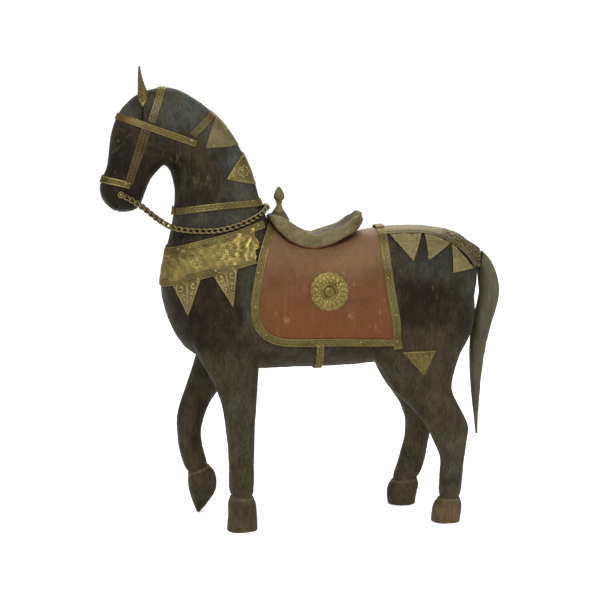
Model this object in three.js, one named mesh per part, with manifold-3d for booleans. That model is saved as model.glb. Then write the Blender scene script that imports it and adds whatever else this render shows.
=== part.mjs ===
// A wooden horse, carved in one piece and clad in brass and copper sheet.
// Millimetres. The horse faces -X, its left side is -Y and +Z is up.
import * as THREE from 'three';
import { mergeVertices } from 'three/addons/utils/BufferGeometryUtils.js';
import Module from 'manifold-3d';

const wasm = await Module();
wasm.setup();

// Driving sizes.
const stature = 600; // ground to the tips of the ears
const clearance = 0.3; // between pieces that touch
const sheet = 0.8; // brass and copper sheet
const edgingSheet = 1.1; // the thicker strips round the blanket
const browStrapWidth = 8.8;
const crownStrapWidth = 10;
const napeStrapWidth = 9;
const cheekStrapTop = 12.4;
const cheekStrapFoot = 10;
const noseStrapWidth = 9.2;
const neckBandWidth = 8.7;
const neckClaspHeight = 3;
const neckClaspWidth = 10;
const neckClaspTall = 10.8;
const collarTopWidth = 10;
const collarFootWidth = 11.2;
const edgingWidth = 10.5;
const rearBandWidth = 11;
const foldHeight = 3.4;
const foldWidth = 22;
const girthWidth = 10;
const girthSheet = 2;
const rosetteRadius = 25;
const rosetteRingRadius = 11;
const rosetteRingWidth = 2.4;
const rosetteDomeRadius = 6.5;
const rosetteRelief = 1.6;
const eyeRadius = 3;
const eyeRise = 1.2;
const eyeRingRadius = 5;
const eyeRingGroove = 0.8;
const knobRadius = 7.2;
const knobHeight = 21;
const knobNeckRadius = 4.2;
const chainPitch = 7.6;
const chainWire = 1.9;
const chainWidth = 7.5;
const chainTwist = 1.5;
const studShankRadius = 1.2;
const studHeadRadius = 5;
const studHeadHeight = 2.4;

// Facets.
const carvedSides = 12;
const legSides = 8;
const dockSides = 8;
const eyeSides = 8;
const earSides = 8;
const rosetteSides = 16;
const plainSides = 8;
const linkSteps = 4;
const linkSides = 3; // also of the groove round the eye
const roundness = 2.3; // 2 would carve ellipses

// The carved form is written in hundredths of the stature, so its pose keeps its proportions.
const share = stature / 100;

// Ribs of the trunk, neck and head, from the dock to the lips.
// Each holds the upper end (x, z), the lower end (x, z), the half width and how far it narrows upwards.
const trunkRibs = [
  [39.4, 58.4, 38.9, 49.6, 2.8, 0],
  [37.4, 61.8, 37.2, 44.2, 5.9, 0],
  [34.0, 63.9, 33.4, 40.8, 7.9, 0],
  [29.0, 65.1, 28.3, 37.9, 9.1, 0],
  [22.3, 65.4, 21.5, 36.1, 9.5, 0],
  [14.4, 64.7, 14.0, 35.1, 9.7, 0],
  [5.5, 62.6, 5.6, 34.7, 9.8, 0],
  [-1.8, 63.1, -2.7, 34.7, 9.9, 0.04],
  [-6.4, 66.3, -10.0, 34.7, 9.9, 0.1],
  [-7.7, 68.5, -17.8, 36.0, 9.7, 0.15],
  [-8.3, 70.3, -25.0, 39.3, 9.2, 0.18],
  [-8.7, 71.6, -28.9, 45.7, 8.5, 0.18],
  [-9.1, 72.6, -30.5, 53.6, 7.8, 0.18],
  [-10.0, 75.7, -27.6, 67.9, 6.2, 0.16],
  [-11.1, 78.9, -27.2, 73.5, 5.4, 0.15],
  [-13.4, 83.4, -27.8, 77.1, 4.9, 0.14],
  [-17.2, 88.8, -28.6, 78.7, 4.7, 0.12],
  [-22.3, 93.1, -29.1, 79.3, 4.8, 0.1],
  [-27.4, 95.5, -29.7, 79.1, 5.1, 0.06],
  [-32.0, 95.3, -30.2, 78.6, 5.4, 0],
  [-35.8, 93.4, -30.8, 78.0, 5.6, -0.06],
  [-38.8, 90.1, -31.6, 77.1, 5.6, -0.12],
  [-40.3, 86.3, -32.3, 76.1, 5.2, -0.15],
  [-41.5, 78.7, -33.6, 73.1, 4.3, -0.04],
  [-42.6, 76.2, -34.1, 71.6, 4.1, 0],
  [-43.0, 74.1, -35.2, 70.0, 3.9, 0],
  [-42.6, 72.4, -37.6, 69.4, 3.4, 0],
  [-41.8, 71.1, -39.7, 69.4, 2.2, 0],
];

// The stub of wood that carries the tail.
const dockRibs = [
  [40.6, 59.6, 39.8, 55.7, 2.1, 0],
  [39.4, 60.6, 38.8, 55.4, 2.4, 0],
  [37.0, 61.9, 36.5, 54.0, 3.2, 0],
  [33.0, 61.5, 33.0, 53.5, 4.2, 0],
];

// Ribs of each leg from the trunk down: the front (x, z), the rear (x, z), the half width and the middle y.
const leftForeRibs = [
  [-22.0, 51.5, -12.5, 51.5, 3.0, -4.4],
  [-24.5, 43.9, -9.7, 42.2, 4.3, -5.3],
  [-22.5, 37.8, -9.7, 36.6, 3.9, -5.9],
  [-20.8, 34.8, -10.0, 33.1, 3.5, -6.3],
  [-18.9, 30.8, -10.3, 29.7, 3.1, -6.7],
  [-17.7, 26.4, -10.5, 26.2, 2.9, -6.8],
  [-17.1, 21.9, -10.8, 21.7, 2.7, -6.9],
  [-16.6, 15.7, -11.0, 15.5, 2.5, -6.9],
  [-16.5, 8.8, -11.1, 8.6, 2.5, -6.9],
  [-16.1, 7.6, -11.4, 7.4, 2.15, -6.9],
  [-16.8, 6.2, -10.7, 5.9, 2.75, -6.9],
  [-16.9, 3.2, -10.4, 3.0, 2.85, -6.9],
  [-17.2, -0.6, -10.3, -0.6, 3.1, -6.9],
];
const rightForeRibs = [
  [-21.5, 46.5, -11.0, 46.0, 3.4, 4.4],
  [-22.5, 38.9, -12.2, 36.4, 3.8, 5.2],
  [-23.4, 34.5, -14.9, 32.5, 3.4, 5.7],
  [-24.8, 30.3, -17.6, 28.5, 3.0, 6.2],
  [-26.2, 26.2, -19.4, 25.9, 2.8, 6.5],
  [-27.2, 22.4, -20.9, 22.2, 2.7, 6.8],
  [-27.2, 19.1, -21.7, 18.9, 2.6, 6.9],
  [-26.9, 15.6, -21.5, 15.7, 2.45, 6.9],
  [-25.8, 11.0, -20.6, 12.2, 2.4, 6.9],
  [-24.8, 9.3, -20.3, 11.0, 2.1, 6.9],
  [-24.9, 7.6, -19.0, 9.7, 2.6, 6.9],
  [-24.6, 4.6, -18.4, 8.1, 2.75, 6.9],
  [-22.9, -0.6, -18.3, 5.5, 2.6, 6.9],
];
const leftHindRibs = [
  [22.5, 57.5, 33.5, 56.5, 3.0, -3.8],
  [18.3, 51.0, 38.0, 50.6, 4.3, -4.5],
  [16.3, 43.2, 37.5, 42.7, 4.2, -4.9],
  [15.6, 37.1, 34.7, 37.0, 3.9, -5.5],
  [16.9, 34.9, 33.8, 34.4, 3.7, -5.7],
  [19.7, 30.0, 33.0, 30.0, 3.3, -6.2],
  [22.8, 26.9, 34.1, 27.1, 3.0, -6.5],
  [26.9, 22.2, 36.7, 21.6, 2.6, -6.8],
  [29.0, 18.0, 36.4, 18.2, 2.4, -6.9],
  [30.5, 14.3, 35.9, 14.1, 2.2, -6.9],
  [30.4, 10.2, 35.6, 10.2, 2.1, -6.9],
  [30.3, 6.8, 35.3, 6.6, 2.1, -6.9],
  [30.5, 5.5, 35.0, 5.4, 1.8, -6.9],
  [29.3, 4.0, 35.5, 4.0, 2.5, -6.9],
  [28.6, -0.6, 35.1, -0.6, 2.8, -6.9],
];
const rightHindRibs = [
  [21.5, 57.0, 33.0, 56.0, 3.0, 3.8],
  [17.2, 48.4, 36.2, 48.0, 4.3, 4.6],
  [16.7, 39.1, 33.6, 39.9, 4.0, 5.1],
  [18.0, 33.6, 31.3, 34.0, 3.6, 5.5],
  [20.9, 28.5, 29.8, 29.2, 3.1, 6.0],
  [23.6, 24.7, 29.7, 25.6, 2.8, 6.4],
  [25.4, 20.4, 31.2, 20.2, 2.5, 6.8],
  [25.5, 17.3, 31.4, 17.1, 2.4, 6.9],
  [24.9, 14.0, 30.8, 13.8, 2.3, 6.9],
  [23.9, 10.2, 30.1, 9.9, 2.2, 6.9],
  [22.9, 7.0, 29.2, 7.2, 2.2, 6.9],
  [22.7, 5.8, 28.4, 6.0, 1.9, 6.9],
  [21.6, 4.3, 28.8, 4.7, 2.5, 6.9],
  [21.4, 1.8, 28.3, 1.8, 2.6, 6.9],
  [21.6, -0.6, 28.0, -0.6, 2.8, 6.9],
];

// The tail from its root down: the inner (x, z), the outer (x, z), the half width and the middle y.
const tailRibs = [
  [40.05, 55.5, 40.85, 59.8, 1.9, 0],
  [40.1, 54.4, 42.4, 58.3, 2.0, 0],
  [40.3, 52.2, 44.3, 54.9, 2.2, 0],
  [40.5, 50.4, 45.1, 51.2, 2.2, 0],
  [40.1, 47.9, 44.6, 47.4, 2.1, 0],
  [39.1, 44.1, 43.5, 43.7, 2.0, 0],
  [38.5, 38.4, 42.3, 38.3, 1.85, 0],
  [38.8, 31.4, 41.4, 31.4, 1.5, 0],
  [39.4, 25.6, 41.0, 25.6, 1.1, 0],
  [40.4, 17.9, 40.8, 17.9, 0.4, 0],
];

// The left ear from its tip down, written as the legs are.
const earRibs = [
  [-34.35, 100, -34.05, 100, 0.15, -3.9],
  [-34.5, 98.2, -33.75, 98.2, 0.4, -3.8],
  [-34.6, 96.0, -33.1, 96.0, 0.7, -3.7],
  [-34.7, 94.2, -32.5, 94.2, 0.9, -3.6],
  [-34.6, 92.6, -32.6, 92.6, 0.9, -3.5],
];
const earLeaf = [[-34.75, 94.6], [-33.6, 91.9], [-32.45, 94.6]];

// The saddle from the front back: x, the lower edge z, the rim z, the seat z and the half width.
const saddleRibs = [
  [-7.1, 67.9, 68.3, 68.3, 2.2],
  [-5.8, 65.9, 68.5, 68.5, 4.0],
  [-3.6, 63.6, 68.0, 67.6, 4.8],
  [-1.1, 62.1, 66.1, 65.7, 5.0],
  [2.4, 61.3, 64.4, 64.1, 5.1],
  [6.2, 62.2, 65.3, 64.9, 5.1],
  [9.0, 63.6, 66.3, 66.0, 4.9],
  [11.2, 64.7, 67.9, 67.8, 4.4],
  [12.6, 65.8, 68.3, 68.8, 3.5],
  [13.4, 67.4, 68.2, 68.8, 2.6],
];
const pommelRibs = [
  [-5.1, 70.8, -4.1, 70.8, 0.6, 0],
  [-5.25, 70.2, -3.95, 70.2, 0.75, 0],
  [-6.1, 68.8, -3.2, 68.8, 2.0, 0],
  [-6.9, 67.2, -2.3, 67.2, 3.4, 0],
];
const knobPlace = [-4.6, 70.9];

// Middle lines of the straps and bands in the side view, (x, z).
const browLine = [[-42, 90.5], [-34.1, 88.0], [-22.6, 83.9]];
const crownLine = [[-32.0, 88.0], [-29.8, 94.7], [-29.0, 97.1]];
const napeLine = [[-23.6, 85.5], [-19.0, 89.9], [-16.6, 92.2]];
const cheekLine = [[-32.8, 87.4], [-36.7, 76.2]];
const noseLine = [[-45, 76.7], [-39.5, 75.95], [-36.7, 75.2]];
const neckLine = [[-30, 69.0], [-22.1, 70.3], [-15.0, 71.0], [-6.5, 71.25]];
const neckClaspPlace = [-26.6, 69.6];
const neckClaspReach = 2;
const collarTopLine = [[-32, 60.0], [-23.4, 62.5], [-17.75, 63.95], [-8.5, 66.75]];
const collarFootLine = [[-33, 53.9], [-23.5, 56.2], [-10.6, 59.7]];
const edgingLine = [
  [-5.4, 70], [-7.3, 65.2], [-8.65, 61.5], [-9.9, 56.6], [-11.0, 49.4], [-10.4, 46.0],
  [-8.6, 43.6], [-5.8, 42.2], [-2.6, 41.8], [7.9, 41.6], [20.2, 40.9],
];
const rearBandLine = [[17.6, 68], [17.5, 60.8], [18.15, 54], [19.6, 46], [20.3, 40.0]];
const girthLine = [[3.2, 41.5], [3.8, 32]];
const rosettePlace = [5.0, 52.6];

// Outlines of the plates in the side view, (x, z).
const breastEnd = [
  [-10.0, 66.4], [-10.5, 64.6], [-9.9, 63.6], [-10.6, 62.6], [-10.1, 61.8], [-10.9, 60.9], [-10.7, 59.6],
];
const frontPendant = [[-28.0, 55.0], [-24.9, 47.7], [-22.0, 56.5]];
const rearPendant = [[-20.0, 57.2], [-15.5, 49.6], [-14.4, 58.6]];
const upperManePlate = [[-20.7, 82.9], [-13.9, 83.5], [-11.6, 84.9], [-16.4, 91.0], [-18.4, 89.2]];
const lowerManePlate = [[-16.4, 76.4], [-10.6, 75.2], [-8.4, 75.6], [-11.6, 82.2], [-13.5, 80.7]];
const backStrip = [
  [17.0, 63.9], [22.1, 64.2], [26.5, 64.1], [29.2, 63.6], [31.2, 62.7], [33.6, 61.2], [35.5, 59.6],
  [36.9, 57.8], [37.7, 56.6], [38.7, 56.4], [41, 70], [17.0, 70],
];
const dockPlate = [
  [31.3, 70], [31.3, 64.1], [33.0, 62.6], [35.5, 60.7], [37.1, 59.0], [38.3, 57.3], [39.1, 56.4],
  [40.0, 56.4], [40.7, 59.9], [41.4, 70],
];
const rumpTriangles = [
  ['front', [[18.6, 64.8], [23.5, 58.7], [26.2, 64.9]]],
  ['middle', [[26.7, 64.6], [26.9, 58.8], [32.4, 62.2]]],
  ['rear', [[32.5, 62.3], [32.3, 56.0], [37.6, 56.2], [37.6, 57.0]]],
];
const haunchTriangle = [[21.1, 39.0], [25.9, 33.7], [28.7, 39.3]];
const haunchDepth = 6 * share; // the plate lies outside this distance from the middle plane
const mouthNotch = [[-39.8, 68.5], [-39.3, 68.5], [-39.5, 71.3]];

// The eye on the left of the head: its place and the way it looks out.
const eyePlace = [-38.9, -4.55, 84.6];
const eyeAxis = [-0.3, -0.87, 0.38];

// The rein from the left bit over the withers to the right bit: x, y and z of the chain's middle.
// The right strand hangs a little lower than the left one.
const bitPlace = [-38.5, -4.1, 73.4];
const reinRoute = [
  [-38.5, -4.85, 73.4], [-36.2, -5.2, 72.2], [-33.4, -5.9, 70.2], [-30.6, -6.4, 68.0], [-28.2, -6.7, 66.6],
  [-26.0, -7.2, 66.1], [-23.6, -7.6, 65.85], [-21.0, -7.95, 65.8], [-18.6, -8.0, 65.9], [-16.2, -7.8, 66.3],
  [-14.0, -7.4, 66.9], [-12.0, -6.7, 67.6], [-10.2, -5.7, 68.4], [-8.7, -4.3, 69.2], [-7.6, -2.4, 70.0],
  [-7.3, 0, 70.2],
  [-7.6, 2.4, 70.0], [-8.7, 4.3, 69.2], [-10.2, 5.7, 68.4], [-12.0, 6.7, 67.6], [-14.0, 7.4, 66.9],
  [-16.1, 7.9, 66.1], [-18.3, 8.1, 65.5], [-20.6, 8.1, 65.0], [-23.0, 7.8, 64.6], [-25.4, 7.3, 64.6],
  [-27.7, 6.8, 65.2], [-30.3, 6.4, 66.8], [-33.2, 5.9, 69.2], [-36.0, 5.3, 71.6], [-38.5, 4.85, 73.4],
];

// Turns a closed geometry into a solid that can be joined and cut.
function solid(geometry) {
  const bare = geometry.index ? geometry.clone() : geometry;
  bare.deleteAttribute('normal');
  bare.deleteAttribute('uv');
  const merged = mergeVertices(bare, 1e-4);
  return new wasm.Manifold(new wasm.Mesh({
    numProp: 3,
    vertProperties: new Float32Array(merged.attributes.position.array),
    triVerts: new Uint32Array(merged.index.array),
  }));
}

// Turns rows of points into a closed skin, with each end row closed on a point of its own.
function closedSkin(rows, startPoint, endPoint) {
  const count = rows[0].length;
  const positions = [...rows.flat(), startPoint, endPoint].flatMap((p) => [p.x, p.y, p.z]);
  const start = rows.length * count;
  const faces = [];
  for (let k = 0; k < count; k += 1) {
    const next = (k + 1) % count;
    for (let i = 0; i + 1 < rows.length; i += 1) {
      const here = i * count;
      const there = here + count;
      faces.push(here + k, here + next, there + next, here + k, there + next, there + k);
    }
    const last = (rows.length - 1) * count;
    faces.push(start, next, k, start + 1, last + k, last + next);
  }
  const geometry = new THREE.BufferGeometry();
  geometry.setAttribute('position', new THREE.Float32BufferAttribute(positions, 3));
  geometry.setIndex(faces);
  return geometry;
}

// A form carved along a row of ribs: a skin through rounded sections, grown outwards by grow.
// A placed rib ends with its middle y, any other with how far it narrows upwards.
function carvedForm(ribs, sides, grow, placed) {
  const stations = ribs.map(([highX, highZ, lowX, lowZ, half, extra]) => {
    const high = new THREE.Vector3(highX, 0, highZ).multiplyScalar(share);
    const low = new THREE.Vector3(lowX, 0, lowZ).multiplyScalar(share);
    return {
      centre: high.clone().add(low).multiplyScalar(0.5).setY(placed ? extra * share : 0),
      reach: high.distanceTo(low) / 2 + grow,
      half: half * share + grow,
      lean: placed ? 0 : extra,
      across: high.clone().sub(low).normalize(),
    };
  });
  const first = stations[0];
  const last = stations[stations.length - 1];
  const backwards = first.centre.clone().sub(stations[1].centre).normalize();
  const forwards = last.centre.clone().sub(stations[stations.length - 2].centre).normalize();
  first.centre.addScaledVector(backwards, grow);
  last.centre.addScaledVector(forwards, grow);
  const rows = stations.map((s) => Array.from({ length: sides }, (_, k) => {
    const angle = (k / sides) * 2 * Math.PI;
    const up = Math.cos(angle);
    const out = Math.sin(angle);
    const along = Math.sign(up) * Math.abs(up) ** (2 / roundness) * s.reach;
    const aside = Math.sign(out) * Math.abs(out) ** (2 / roundness) * s.half * (1 - s.lean * up);
    return s.centre.clone().addScaledVector(s.across, along).add(new THREE.Vector3(0, aside, 0));
  }));
  return closedSkin(rows, first.centre.clone(), last.centre.clone());
}

function horse(grow) {
  const trunk = solid(carvedForm(trunkRibs, carvedSides, grow, false));
  const dock = solid(carvedForm(dockRibs, dockSides, grow, false));
  const legs = [leftForeRibs, rightForeRibs, leftHindRibs, rightHindRibs]
    .map((ribs) => solid(carvedForm(ribs, legSides, grow, true)));
  return legs.reduce((form, leg) => form.add(leg), trunk.add(dock));
}

// A point of the side view in millimetres.
function place([x, z]) {
  return new THREE.Vector2(x * share, z * share);
}

// Pushes a closed outline outwards by distance, corner by corner.
function grownOutline(points, distance) {
  const turn = Math.sign(THREE.ShapeUtils.area(points));
  return points.map((point, i) => {
    const before = points[(i + points.length - 1) % points.length];
    const after = points[(i + 1) % points.length];
    return mitred(before, point, after, -turn * distance);
  });
}

// The corner at point of a line moved sideways by distance.
function mitred(before, point, after, distance) {
  const inDirection = point.clone().sub(before).normalize();
  const outDirection = after.clone().sub(point).normalize();
  const inSide = new THREE.Vector2(-inDirection.y, inDirection.x);
  const outSide = new THREE.Vector2(-outDirection.y, outDirection.x);
  const middle = inSide.clone().add(outSide).normalize();
  return point.clone().addScaledVector(middle, distance / Math.max(middle.dot(inSide), 0.4));
}

// The outline of a strap that follows a middle line and may taper.
function strapOutline(line, width, footWidth = width) {
  const points = line.map(place);
  const edge = (side) => points.map((point, i) => {
    const before = points[i - 1] ?? point.clone().multiplyScalar(2).sub(points[i + 1]);
    const after = points[i + 1] ?? point.clone().multiplyScalar(2).sub(points[i - 1]);
    const here = THREE.MathUtils.lerp(width, footWidth, i / (points.length - 1));
    return mitred(before, point, after, side * here / 2);
  });
  return [...edge(1), ...edge(-1).reverse()];
}

// The solid behind an outline of the side view, on the left, on the right or right across.
const wayOut = stature;
function across(points, side = 'both', inmost = clearance / 2) {
  const near = side === 'right' ? inmost : -wayOut;
  const far = side === 'left' ? -inmost : wayOut;
  const shape = new THREE.Shape(points);
  const geometry = new THREE.ExtrudeGeometry(shape, { depth: far - near, bevelEnabled: false });
  geometry.rotateX(Math.PI / 2);
  geometry.translate(0, far, 0);
  return solid(geometry);
}

// A disc seen from the side, for cutting a boss from the cladding.
function discOutline(centre, radius, steps) {
  return Array.from({ length: steps }, (_, i) => {
    const angle = (i / steps) * 2 * Math.PI;
    return centre.clone().add(new THREE.Vector2(Math.cos(angle), Math.sin(angle)).multiplyScalar(radius));
  });
}

// A layer of metal over the carved form, from one distance off the wood to another.
const grownHorses = new Map();
function horseGrownBy(grow) {
  const key = grow.toFixed(3);
  if (!grownHorses.has(key)) grownHorses.set(key, horse(grow));
  return grownHorses.get(key);
}
function layer(from, to) {
  return horseGrownBy(to).subtract(horseGrownBy(from));
}

// A piece of sheet with an outline, cut back from its neighbours.
function plate(points, side, neighbours = [], thickness = sheet, inmost = clearance / 2) {
  const cutter = neighbours.reduce(
    (form, other) => form.subtract(across(grownOutline(other, clearance))),
    across(points, side, inmost),
  );
  return layer(clearance, clearance + thickness).intersect(cutter);
}

function ball(radius, centre) {
  const geometry = new THREE.SphereGeometry(radius, eyeSides, eyeSides / 2);
  geometry.translate(centre.x, centre.y, centre.z);
  return solid(geometry);
}

// Turns a profile of (radius, height) round an axis through a place.
function turned(profile, centre, axis, steps = plainSides) {
  const geometry = new THREE.LatheGeometry(profile.map(([r, h]) => new THREE.Vector2(r, h)), steps);
  const upright = new THREE.Vector3(0, 1, 0);
  geometry.applyQuaternion(new THREE.Quaternion().setFromUnitVectors(upright, axis.clone().normalize()));
  geometry.translate(centre.x, centre.y, centre.z);
  return solid(geometry);
}

function spot([x, y, z], mirror = 1) {
  return new THREE.Vector3(x * share, y * share * mirror, z * share);
}

// Carving

function eye(mirror) {
  const axis = new THREE.Vector3(eyeAxis[0], eyeAxis[1] * mirror, eyeAxis[2]).normalize();
  const centre = spot(eyePlace, mirror);
  const ring = new THREE.TorusGeometry(eyeRingRadius, eyeRingGroove, linkSides, eyeSides);
  ring.applyQuaternion(new THREE.Quaternion().setFromUnitVectors(new THREE.Vector3(0, 0, 1), axis));
  ring.translate(centre.x, centre.y, centre.z);
  const bead = ball(eyeRadius, centre.clone().addScaledVector(axis, eyeRise - eyeRadius));
  return { groove: solid(ring), bead };
}

function ground() {
  const geometry = new THREE.BoxGeometry(2 * stature, 2 * stature, stature);
  geometry.translate(0, 0, -stature / 2);
  return solid(geometry);
}

function carvedBody() {
  const eyes = [eye(1), eye(-1)];
  const dressed = eyes.reduce((form, { groove, bead }) => form.subtract(groove).add(bead), horseGrownBy(0));
  return dressed.subtract(across(mouthNotch.map(place))).subtract(ground());
}

function tail() {
  return solid(carvedForm(tailRibs, plainSides, 0, true)).subtract(horseGrownBy(clearance));
}

// Ears

function ear(side) {
  const mirror = side === 'left' ? 1 : -1;
  const ribs = earRibs.map((r) => [...r.slice(0, 5), r[5] * mirror]);
  const blade = solid(carvedForm(ribs, earSides, 0, true)).subtract(horseGrownBy(clearance));
  return blade.add(plate(earLeaf.map(place), side));
}

// Saddle

const saddleFoot = clearance + edgingSheet + clearance;

// The saddle's outer section from the lower edge over the rim: parts of its half width and height.
const saddleSection = [[1, 0], [1.02, 0.4], [0.95, 0.85], [0.86, 1], [0.7, 0.96]];
const seatShoulder = [0.4, 0.1];
const seatThickness = 1.3;
const seatUnderside = 0.5;
const skirtDrop = 1.6;

function saddle() {
  const rows = saddleRibs.map(([x, low, rim, seat, half]) => {
    const right = saddleSection.map(([out, up]) => [out * half, low + up * (rim - low)]);
    right.push([seatShoulder[0] * half, seat + seatShoulder[1] * (rim - seat)]);
    const left = right.map(([y, z]) => [-y, z]).reverse();
    const under = seat - seatThickness;
    const bottom = [[-seatUnderside * half, under], [0, under], [seatUnderside * half, under]];
    return [...right, [0, seat], ...left, ...bottom]
      .map(([y, z]) => spot([x, y, Math.max(z, low - skirtDrop)]));
  });
  const middle = (row) => row.reduce((sum, p) => sum.add(p), new THREE.Vector3()).divideScalar(row.length);
  const hull = solid(closedSkin(rows, middle(rows[0]), middle(rows[rows.length - 1])));
  const pommel = solid(carvedForm(pommelRibs, plainSides, 0, true));
  return hull.add(pommel).subtract(horseGrownBy(saddleFoot));
}

function saddleKnob() {
  const base = spot([knobPlace[0], 0, knobPlace[1]]).add(new THREE.Vector3(0, 0, clearance));
  const profile = [
    [0, 0], [knobNeckRadius, 0], [0.8 * knobRadius, 0.08 * knobHeight], [knobRadius, 0.22 * knobHeight],
    [0.92 * knobRadius, 0.42 * knobHeight], [0.62 * knobRadius, 0.78 * knobHeight],
    [0.3 * knobRadius, 0.96 * knobHeight], [0, knobHeight],
  ];
  return turned(profile, base, new THREE.Vector3(0, 0, 1));
}

// Blanket

const edging = strapOutline(edgingLine, edgingWidth);
const rearBand = strapOutline(rearBandLine, rearBandWidth);

// A point of the side view above the whole back, where the outlines of sheets over the spine close.
const aboveBack = 75;

function saddleBlanket() {
  const field = [...edgingLine, ...rearBandLine.slice(0, -1).reverse(), [10, aboveBack]].map(place);
  return plate(field, 'both', [edging, rearBand]);
}

function blanketEdge(side) {
  return plate(edging, side, [rearBand], edgingSheet);
}

function blanketRearBand() {
  const fold = across(strapOutline(rearBandLine.slice(0, 2), rearBandWidth));
  const width = solid(new THREE.BoxGeometry(2 * stature, foldWidth, 2 * stature));
  const bump = layer(clearance + edgingSheet / 2, clearance + foldHeight).intersect(fold).intersect(width);
  return plate(rearBand, 'both', [], edgingSheet).add(bump);
}

function rosette(side) {
  const centre = place(rosettePlace);
  const foot = clearance + sheet + clearance;
  const whole = across(discOutline(centre, rosetteRadius, rosetteSides), side);
  const disc = layer(foot, foot + sheet).intersect(whole);
  const ringOut = across(discOutline(centre, rosetteRingRadius, plainSides), side);
  const ringIn = across(discOutline(centre, rosetteRingRadius - rosetteRingWidth, plainSides), side);
  const dome = across(discOutline(centre, rosetteDomeRadius, plainSides), side);
  const raised = layer(foot + sheet / 2, foot + rosetteRelief);
  return disc.add(raised.intersect(ringOut.subtract(ringIn))).add(raised.intersect(dome));
}

// Bridle

const brow = strapOutline(browLine, browStrapWidth);
const nose = strapOutline(noseLine, noseStrapWidth);
const crown = strapOutline(crownLine, crownStrapWidth);
const nape = strapOutline(napeLine, napeStrapWidth);
const cheek = strapOutline(cheekLine, cheekStrapTop, cheekStrapFoot);

function bitStud(side) {
  const mirror = side === 'left' ? 1 : -1;
  const foot = spot(bitPlace, mirror);
  const reach = spot(reinRoute[0], mirror);
  const chainHalf = chainTwist + chainWire / 2;
  const head = Math.abs(reach.y - foot.y) + chainHalf + 3 * clearance;
  const profile = [
    [0, -2 * studHeadRadius], [studShankRadius, -2 * studHeadRadius], [studShankRadius, head],
    [studHeadRadius, head], [0.8 * studHeadRadius, head + 0.6 * studHeadHeight], [0, head + studHeadHeight],
  ];
  return turned(profile, foot, new THREE.Vector3(0, -mirror, 0)).subtract(horseGrownBy(clearance));
}

// How far the middle of a link's wire passes the next one's.
const linkOverlap = 0.8 * chainWire;

// One twisted link in the frame of the chain: along, aside and out.
function link(centre, along, out, pitch) {
  const aside = new THREE.Vector3().crossVectors(out, along).normalize();
  const reach = (pitch + linkOverlap) / 2 / Math.cos(Math.PI / linkSteps);
  const spread = (chainWidth - chainWire) / 2 / Math.sin(Math.PI / linkSteps);
  const rows = Array.from({ length: linkSteps }, (_, i) => {
    const angle = ((i + 0.5) / linkSteps) * 2 * Math.PI;
    const lift = chainTwist * Math.sin(2 * angle);
    const heart = new THREE.Vector3(reach * Math.cos(angle), spread * Math.sin(angle), lift);
    const away = new THREE.Vector3(Math.cos(angle), Math.sin(angle), 0);
    away.divideScalar(Math.cos(Math.PI / linkSteps));
    return Array.from({ length: linkSides }, (__, k) => {
      const turn = (k / linkSides) * 2 * Math.PI + Math.PI;
      const local = heart.clone().addScaledVector(away, Math.cos(turn) * chainWire / 2);
      local.z += Math.sin(turn) * chainWire / 2;
      return local.applyMatrix4(new THREE.Matrix4().makeBasis(along, aside, out)).add(centre);
    });
  });
  return solid(ringSkin(rows));
}

// Turns a closed round of sections into a skin.
function ringSkin(rows) {
  const count = rows[0].length;
  const faces = [];
  rows.forEach((_, i) => {
    const here = i * count;
    const there = ((i + 1) % rows.length) * count;
    for (let k = 0; k < count; k += 1) {
      const next = (k + 1) % count;
      faces.push(here + k, there + next, here + next, here + k, there + k, there + next);
    }
  });
  const geometry = new THREE.BufferGeometry();
  const positions = rows.flat().flatMap((p) => [p.x, p.y, p.z]);
  geometry.setAttribute('position', new THREE.Float32BufferAttribute(positions, 3));
  geometry.setIndex(faces);
  return geometry;
}

function reinChain() {
  const route = new THREE.CatmullRomCurve3(reinRoute.map((p) => spot(p)), false, 'centripetal');
  route.arcLengthDivisions = 400;
  const start = (chainPitch + linkOverlap - chainWire) / 2 - studShankRadius - clearance;
  const run = route.getLength() - 2 * start;
  const count = Math.round(run / chainPitch);
  const pitch = run / count;
  const links = Array.from({ length: count + 1 }, (_, i) => {
    const t = (start + i * pitch) / route.getLength();
    const centre = route.getPointAt(t);
    const along = route.getTangentAt(t);
    const aside = THREE.MathUtils.smoothstep(Math.abs(centre.y), 0, 5 * chainPitch);
    const out = new THREE.Vector3(1 - aside, Math.sign(centre.y) * aside, 1 - aside);
    out.addScaledVector(along, -out.dot(along)).normalize();
    return link(centre, along, out, pitch);
  });
  return links.reduce((form, piece) => form.add(piece));
}

// Neck and breast

const neckStrap = strapOutline(neckLine, neckBandWidth);
const collarTop = strapOutline(collarTopLine, collarTopWidth);
const collarFoot = strapOutline(collarFootLine, collarFootWidth);

function neckBand() {
  const [x, z] = neckClaspPlace;
  const clasp = across(strapOutline([[x, z], [x - neckClaspReach, z]], neckClaspTall));
  const width = solid(new THREE.BoxGeometry(2 * stature, neckClaspWidth, 2 * stature));
  const block = layer(clearance + sheet / 2, clearance + neckClaspHeight).intersect(clasp).intersect(width);
  return plate(neckStrap, 'both').add(block);
}

function breastPlate() {
  const field = [...collarTopLine.slice(0, -1), ...breastEnd, ...collarFootLine.slice(0, -1).reverse()];
  return plate(field.map(place), 'both', [collarTop, collarFoot]);
}

// Rump

const strip = backStrip.map(place);
const dock = dockPlate.map(place);

// Colours and finishes.
const finishes = {
  wood: { color: 0x3d342c, roughness: 0.75, metalness: 0 },
  tailWood: { color: 0x4a4734, roughness: 0.7, metalness: 0 },
  brass: { color: 0x857446, roughness: 0.45, metalness: 0.8 },
  brightBrass: { color: 0xa08a4a, roughness: 0.4, metalness: 0.9 },
  darkBrass: { color: 0x5f583c, roughness: 0.5, metalness: 0.7 },
  copper: { color: 0x7a4a33, roughness: 0.5, metalness: 0.6 },
};

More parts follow.
